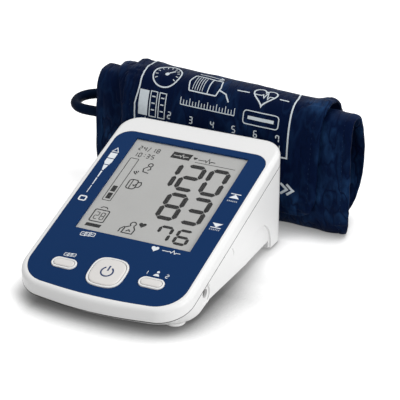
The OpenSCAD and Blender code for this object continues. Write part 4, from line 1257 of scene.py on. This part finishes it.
class Cloth:
    """The wound strip: its settings, and where a point of it lies."""

    def __init__(self, settings):
        self.crease = settings.crease * 1000
        self.lift = settings.flap_lift * 1000
        self.spots = [0.0]
        last = roll_point(0, FLAP_ANGLE, 0)
        for turned in range(1, int(CLOTH_TURNS) + 1):
            here = roll_point(0, FLAP_ANGLE - turned, TURN_STEP * turned / 360)
            self.spots.append(self.spots[-1] + math.dist(last, here))
            last = here

    def run(self, turned):
        """Length of cloth from the flap's end to this turned angle."""
        k = min(int(turned), len(self.spots) - 2)
        return blend_to(self.spots[k], self.spots[k + 1], turned - k)

    def turned(self, run):
        """The turned angle at this length from the flap's end."""
        k = next((k for k, spot in enumerate(self.spots) if spot > run), len(self.spots) - 1) - 1
        return k + (run - self.spots[k]) / (self.spots[k + 1] - self.spots[k])

    def point(self, x, turned, depth):
        """Where the cloth lies at x and this turned angle, depth under its skin."""
        shift = billow(x, turned, self.crease) + flap_lift(x, turned, self.lift)
        return roll_point(x, FLAP_ANGLE - turned, TURN_STEP * turned / 360 + depth - shift)

    def from_edge(self, x, turned):
        """Distance to the nearest edge of the cloth."""
        inset = corner_in(turned)
        sides = min(x - edge_at(turned, 1) - inset, edge_at(turned, 2) - inset - x)
        return min(sides, self.run(turned), self.run(CLOTH_TURNS) - self.run(turned))

    def strip(self, name, node, stations, columns, depth, inset=0.0, thick=PLY):
        """A ply over these turned angles for this node, and its area; depth(distance from edge) is how deep it lies."""
        points, maps = [], []
        for turned in stations:
            wave = 0.35 * noise.noise(Vector((turned / 9, 3.3, 0)))
            left = edge_at(turned, 1) + corner_in(turned) + inset + wave
            right = edge_at(turned, 2) - corner_in(turned) - inset + wave
            for share in columns(left, right):
                x = blend_to(left, right, share)
                points.append(self.point(x, turned, depth(self.from_edge(x, turned))))
                maps.append((x / 1000, self.run(turned) / 1000))
        wide = len(points) // len(stations)
        faces = [(i * wide + j, i * wide + j + 1, (i + 1) * wide + j + 1, (i + 1) * wide + j)
                 for i in range(len(stations) - 1) for j in range(wide - 1)]
        piece = mesh_piece(name, points, faces, DESK)
        layer = piece.data.uv_layers.new(name="cloth_map")
        for loop in piece.data.loops:
            layer.data[loop.index].uv = maps[loop.vertex_index]
        area = sum(face.area for face in piece.data.polygons)
        apply_modifier(piece, "SOLIDIFY", thickness=thick / 1000, offset=0)
        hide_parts(node)
        return piece, area


def hem_columns(left, right):
    """Shares across the strip, close together near its hems."""
    wide = right - left
    near = [0, 0.5, 1.1, 1.9, 2.8, 3.8, 4.4, 5.0, 5.6, 6.6, 8.5]
    inner = [8.5 + (wide - 17) * k / 62 for k in range(1, 62)]
    return [d / wide for d in near] + [d / wide for d in inner] + [1 - d / wide for d in reversed(near)]


def even_columns(count):
    """Even shares across the strip."""
    return lambda left, right: [k / count for k in range(count + 1)]


def outer_depth(near):
    """The outer ply bends down to its hem, with a groove at the seam."""
    drop = 0.85 * (1 - math.sqrt(max(0, 1 - (1 - min(near / HEM, 1)) ** 2)))
    return drop + 0.3 * math.exp(-((near - HEM) / 0.7) ** 2)


def inner_depth(near):
    """The inner ply meets the outer one at the hem."""
    return 1.85 - 0.35 * math.exp(-(near / 2.5) ** 2)


class MONITOR_OT_cuff(bpy.types.Operator):
    """Wind the cuff's two plies, sew their hems and print the flap"""

    bl_idname = "monitor.cuff"
    bl_label = "Rolled Cuff"

    def execute(self, context):
        cloth = Cloth(context.scene.cuff_settings)
        stations = [k * 0.6 for k in range(0, 40)] + [24 + k * 3 for k in range(0, 281)]
        length = cloth.run(CLOTH_TURNS) / 1000
        outer, area = cloth.strip("cuff_outer_cloth", "cuff_outer_ply", stations, hem_columns, outer_depth)
        finish(outer, "cuff", "navy_nylon", 60)
        self.stitches(cloth)
        self.printing(cloth)
        inner, area = cloth.strip("cuff_inner_cloth", "cuff_inner_ply", stations, hem_columns, inner_depth)
        finish(inner, "cuff", "navy_nylon", 60)
        bladder, _ = cloth.strip("cuff_air_bladder", "cuff_bladder", [400 + 4 * k for k in range(110)],
                                 even_columns(40), lambda near: 1.35, 10, 0.5)
        finish(bladder, "cuff", "bladder_rubber", 60)
        hooks, _ = cloth.strip("cuff_hook_tape", "cuff_hook_patch", [22 + 2 * k for k in range(37)],
                               even_columns(30), lambda near: 2.4, 12)
        finish(hooks, "cuff", "navy_nylon", 60, finish_of("hook_nylon"))
        return {"FINISHED"}

    def stitches(self, cloth):
        """Thread along the hems of the outer turns, each stitch a small spindle."""
        points, faces, spots = [], [], []
        run, last = 12.0, cloth.run(STITCHED)
        while run < last:
            turned = cloth.turned(run)
            spots += [(edge_at(turned, 1) + corner_in(turned) + HEM, turned, 0),
                      (edge_at(turned, 2) - corner_in(turned) - HEM, turned, 0)]
            run += STITCH_STEP
        x = FLAP_LEFT + 14
        while x < FLAP_RIGHT - 14:
            spots.append((x, cloth.turned(HEM), 1))
            x += STITCH_STEP
        for x, turned, across in spots:
            reach = (STITCH_HALF, 0) if across else (0, STITCH_HALF / (cloth.run(turned + 1) - cloth.run(turned)))
            a = Vector(cloth.point(x - reach[0], turned - reach[1], outer_depth(HEM) - 0.28))
            b = Vector(cloth.point(x + reach[0], turned + reach[1], outer_depth(HEM) - 0.28))
            out = Vector(cloth.point(x, turned, outer_depth(HEM) - 0.6)) - (a + b) / 2
            out.normalize()
            side = (b - a).cross(out).normalized() * 0.22
            first, middle = len(points), (a + b) / 2
            points += [a - out * 0.2, b - out * 0.2, middle + out * 0.2, middle + side, middle - out * 0.3,
                       middle - side]
            faces += [(first + p, first + q, first + r) for p, q, r in (
                (0, 3, 2), (0, 2, 5), (0, 5, 4), (0, 4, 3), (1, 2, 3), (1, 5, 2), (1, 4, 5), (1, 3, 4))]
        piece = mesh_piece("cuff_stitches", points, faces, DESK)
        return finish(piece, "cuff", "navy_nylon", 80, finish_of("navy_thread"))

    def printing(self, cloth):
        """Print on the flap: a border, a scale with numbers, boxes, a dial, a strap, and a heart with its pulse."""
        art = Artwork()
        step = 1.6
        left, right, low, top = -51, 50, 38, 112
        art.line([(left, top), (left, 62), (left - 2, 52), (left - 2, low), (right, low), (right, 78), (right - 3, 92),
                  (right - 3, top)], 0.95, True, step)
        # A scale along the border's foot, and a finer one across the middle
        for k in range(19):
            x = left + 6 + k * 5
            art.line([(x, low + 2.5), (x, low + (7 if k % 3 == 0 else 5))], 0.5, step=step)
        for k, mark in enumerate("234567"):
            art.digit(mark, left + 21 + 14.4 * k, low + 8.6, 2.6, 4.6, 0.7)
        art.line([(-22, 57), (14, 57)], 0.5, step=step)
        for k in range(19):
            art.line([(-22 + 2 * k, 57), (-22 + 2 * k, 60 if k % 3 else 61.4)], 0.42, step=step)
        # A pale block at the left with two ruled boxes beside it
        art.field(left + 0.8, left + 7.2, 46, 61, step)
        for x in (left + 8.6, left + 14.6):
            art.line([(x, 46), (x + 4.4, 46), (x + 4.4, 61), (x, 61)], 0.55, True, step)
            for y in (50, 54, 58):
                art.line([(x + 1.1, y), (x + 3.3, y)], 0.7, step=step)
        self.dial(art, -36, 73.5, step)
        self.band(art, -9, 72, step)
        art.heart(30, 73.5, 15, 0.85)
        art.pulse(23.5, 36.5, 73, 3.6, 0.6, step)
        for low, high in ((12, 20), (40, 46)):
            art.line([(low, 73), (high, 73)], 0.7, step=step)
        art.line(rounded_box(20, 43, 54, 62, 2), 0.6, True, step)
        art.line([(23, 58), (40, 58)], 2.0, step=step)
        # Two chevrons low on the flap that point to its edge
        for x in (46.5, 50.5):
            art.line([(x, 21.4), (x + 4.2, 18), (x, 14.6)], 1.5, step=0.9)

        def lay(x, y):
            return DESK @ Vector(cloth.point(x, cloth.turned(y), -0.29))

        piece = art.piece("cuff_print", lay, 0.14)
        return finish(piece, "cuff", "navy_nylon", 60, finish_of("cloth_print"))

    def dial(self, art, x, y, step):
        """A round gauge with ticks and a pointer."""
        art.line(arc(x, y, 9, 0, 354, 40), 0.85, True)
        for k in range(11):
            a = math.radians(-30 + 24 * k)
            art.line([(x + r * math.cos(a), y + r * math.sin(a)) for r in (6.2, 7.8)], 0.5)
        art.line([(x, y), (x + 3.6, y + 4.2)], 0.8, step=step)
        art.shape(arc(x, y, 1.3, 0, 330, 11))

    def band(self, art, x, y, step):
        """A strap seen from its side, closed by a flap, with a tube from it and an arrow round it."""
        for side in (-1, 1):
            art.line([(x + side * 9, y - 6), (x + side * 10.5, y), (x + side * 9, y + 6)], 0.75, step=step)
        for edge in (-6, 6):
            art.line([(x - 9, y + edge), (x + 9, y + edge)], 0.75, step=step)
        for k in range(5):
            art.line([(x - 7 + 1.6 * k, y - 5), (x - 7 + 1.6 * k, y + 5)], 0.35, step=step)
        art.line([(x + 3, y - 6), (x + 3, y + 6)], 0.6, step=step)
        art.line([(x + 10.2, y - 2), (x + 15, y - 3.5), (x + 18, y - 8)], 0.8, step=step)
        art.line([(x - 8, y + 9), (x + 8, y + 9)], 0.6, step=step)
        art.line([(x + 5.6, y + 10.8), (x + 8, y + 9), (x + 5.6, y + 7.2)], 0.6)


# ------------------------------------------------------------------------------- inner parts

CELL_PITCH = 15.0
# A spring's foot lies this far from the bay's middle; radii at its foot and tip, length and turns
SPRING_FROM_MIDDLE, SPRING_FOOT, SPRING_TIP, SPRING_LONG, SPRING_TURNS = 26.55, 4.0, 2.4, 2.4, 3.5


class MONITOR_OT_inner_parts(bpy.types.Operator):
    """Give every carried-over part its finish and wind the battery springs"""

    bl_idname = "monitor.inner_parts"
    bl_label = "Inner Parts"

    def execute(self, context):
        for part in frame["record"]["subparts"]:
            node = frame["nodes"][part["node"]]
            slot = part["material_slot"]
            if part["node"] in ("battery_cell_2", "battery_cell_4"):
                slot = "cell_wrap_turned"
            node.data.materials.clear()
            node.data.materials.append(finish_of(slot))
        self.springs()
        return {"FINISHED"}

    def springs(self):
        """Conical contact springs, wound from one wire each, at alternate ends of the four cells."""
        low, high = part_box("battery_cell_1")
        level = (low.z + high.z) / 2 * 1000
        routes = []
        for k in range(4):
            turn = -1 if k % 2 else 1
            x, start = (k - 1.5) * CELL_PITCH, BAY_MIDDLE - turn * SPRING_FROM_MIDDLE
            route = []
            for n in range(97):
                share = n / 96
                a, r = math.tau * SPRING_TURNS * share, blend_to(SPRING_FOOT, SPRING_TIP, share)
                place = (x + r * math.cos(a), start + turn * SPRING_LONG * share, level + r * math.sin(a))
                route.append((place, 1.0))
            routes.append(route)
        piece = wire_piece("battery_spring_wires", routes, 0.00035, 2, False)
        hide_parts("battery_springs")
        finish(piece, "monitor", "bare_steel")


# ------------------------------------------------------------------------------- panel and run


class MONITOR_PT_panel(bpy.types.Panel):
    """Sidebar panel with the settings and the steps in their order"""

    bl_idname = "MONITOR_PT_panel"
    bl_label = "Blood Pressure Monitor"
    bl_space_type = "VIEW_3D"
    bl_region_type = "UI"
    bl_category = "Monitor"

    def draw(self, context):
        for group in ("monitor_settings", "cuff_settings", "stage_settings"):
            box = self.layout.box()
            settings = getattr(context.scene, group)
            for name in settings.bl_rna.properties.keys():
                if name not in ("rna_type", "name"):
                    box.prop(settings, name)
        for step in STEPS:
            self.layout.operator(step.bl_idname)


SETTINGS = {"monitor_settings": MonitorSettings, "cuff_settings": CuffSettings, "stage_settings": StageSettings}
STEPS = (MONITOR_OT_stage, MONITOR_OT_hose, MONITOR_OT_inner_parts, MONITOR_OT_shells, MONITOR_OT_panel,
         MONITOR_OT_display, MONITOR_OT_keys, MONITOR_OT_cuff)


def register():
    for item in (*SETTINGS.values(), *STEPS, MONITOR_PT_panel):
        bpy.utils.register_class(item)
    for name, group in SETTINGS.items():
        setattr(bpy.types.Scene, name, PointerProperty(type=group))


def unregister():
    for name in SETTINGS:
        delattr(bpy.types.Scene, name)
    for item in reversed((*SETTINGS.values(), *STEPS, MONITOR_PT_panel)):
        bpy.utils.unregister_class(item)


def main():
    register()
    bpy.ops.monitor.stage()
    bpy.ops.monitor.hose()
    bpy.ops.monitor.inner_parts()
    bpy.ops.monitor.shells()
    bpy.ops.monitor.panel()
    bpy.ops.monitor.display()
    bpy.ops.monitor.keys()
    bpy.ops.monitor.cuff()


if __name__ == "__main__":
    main()
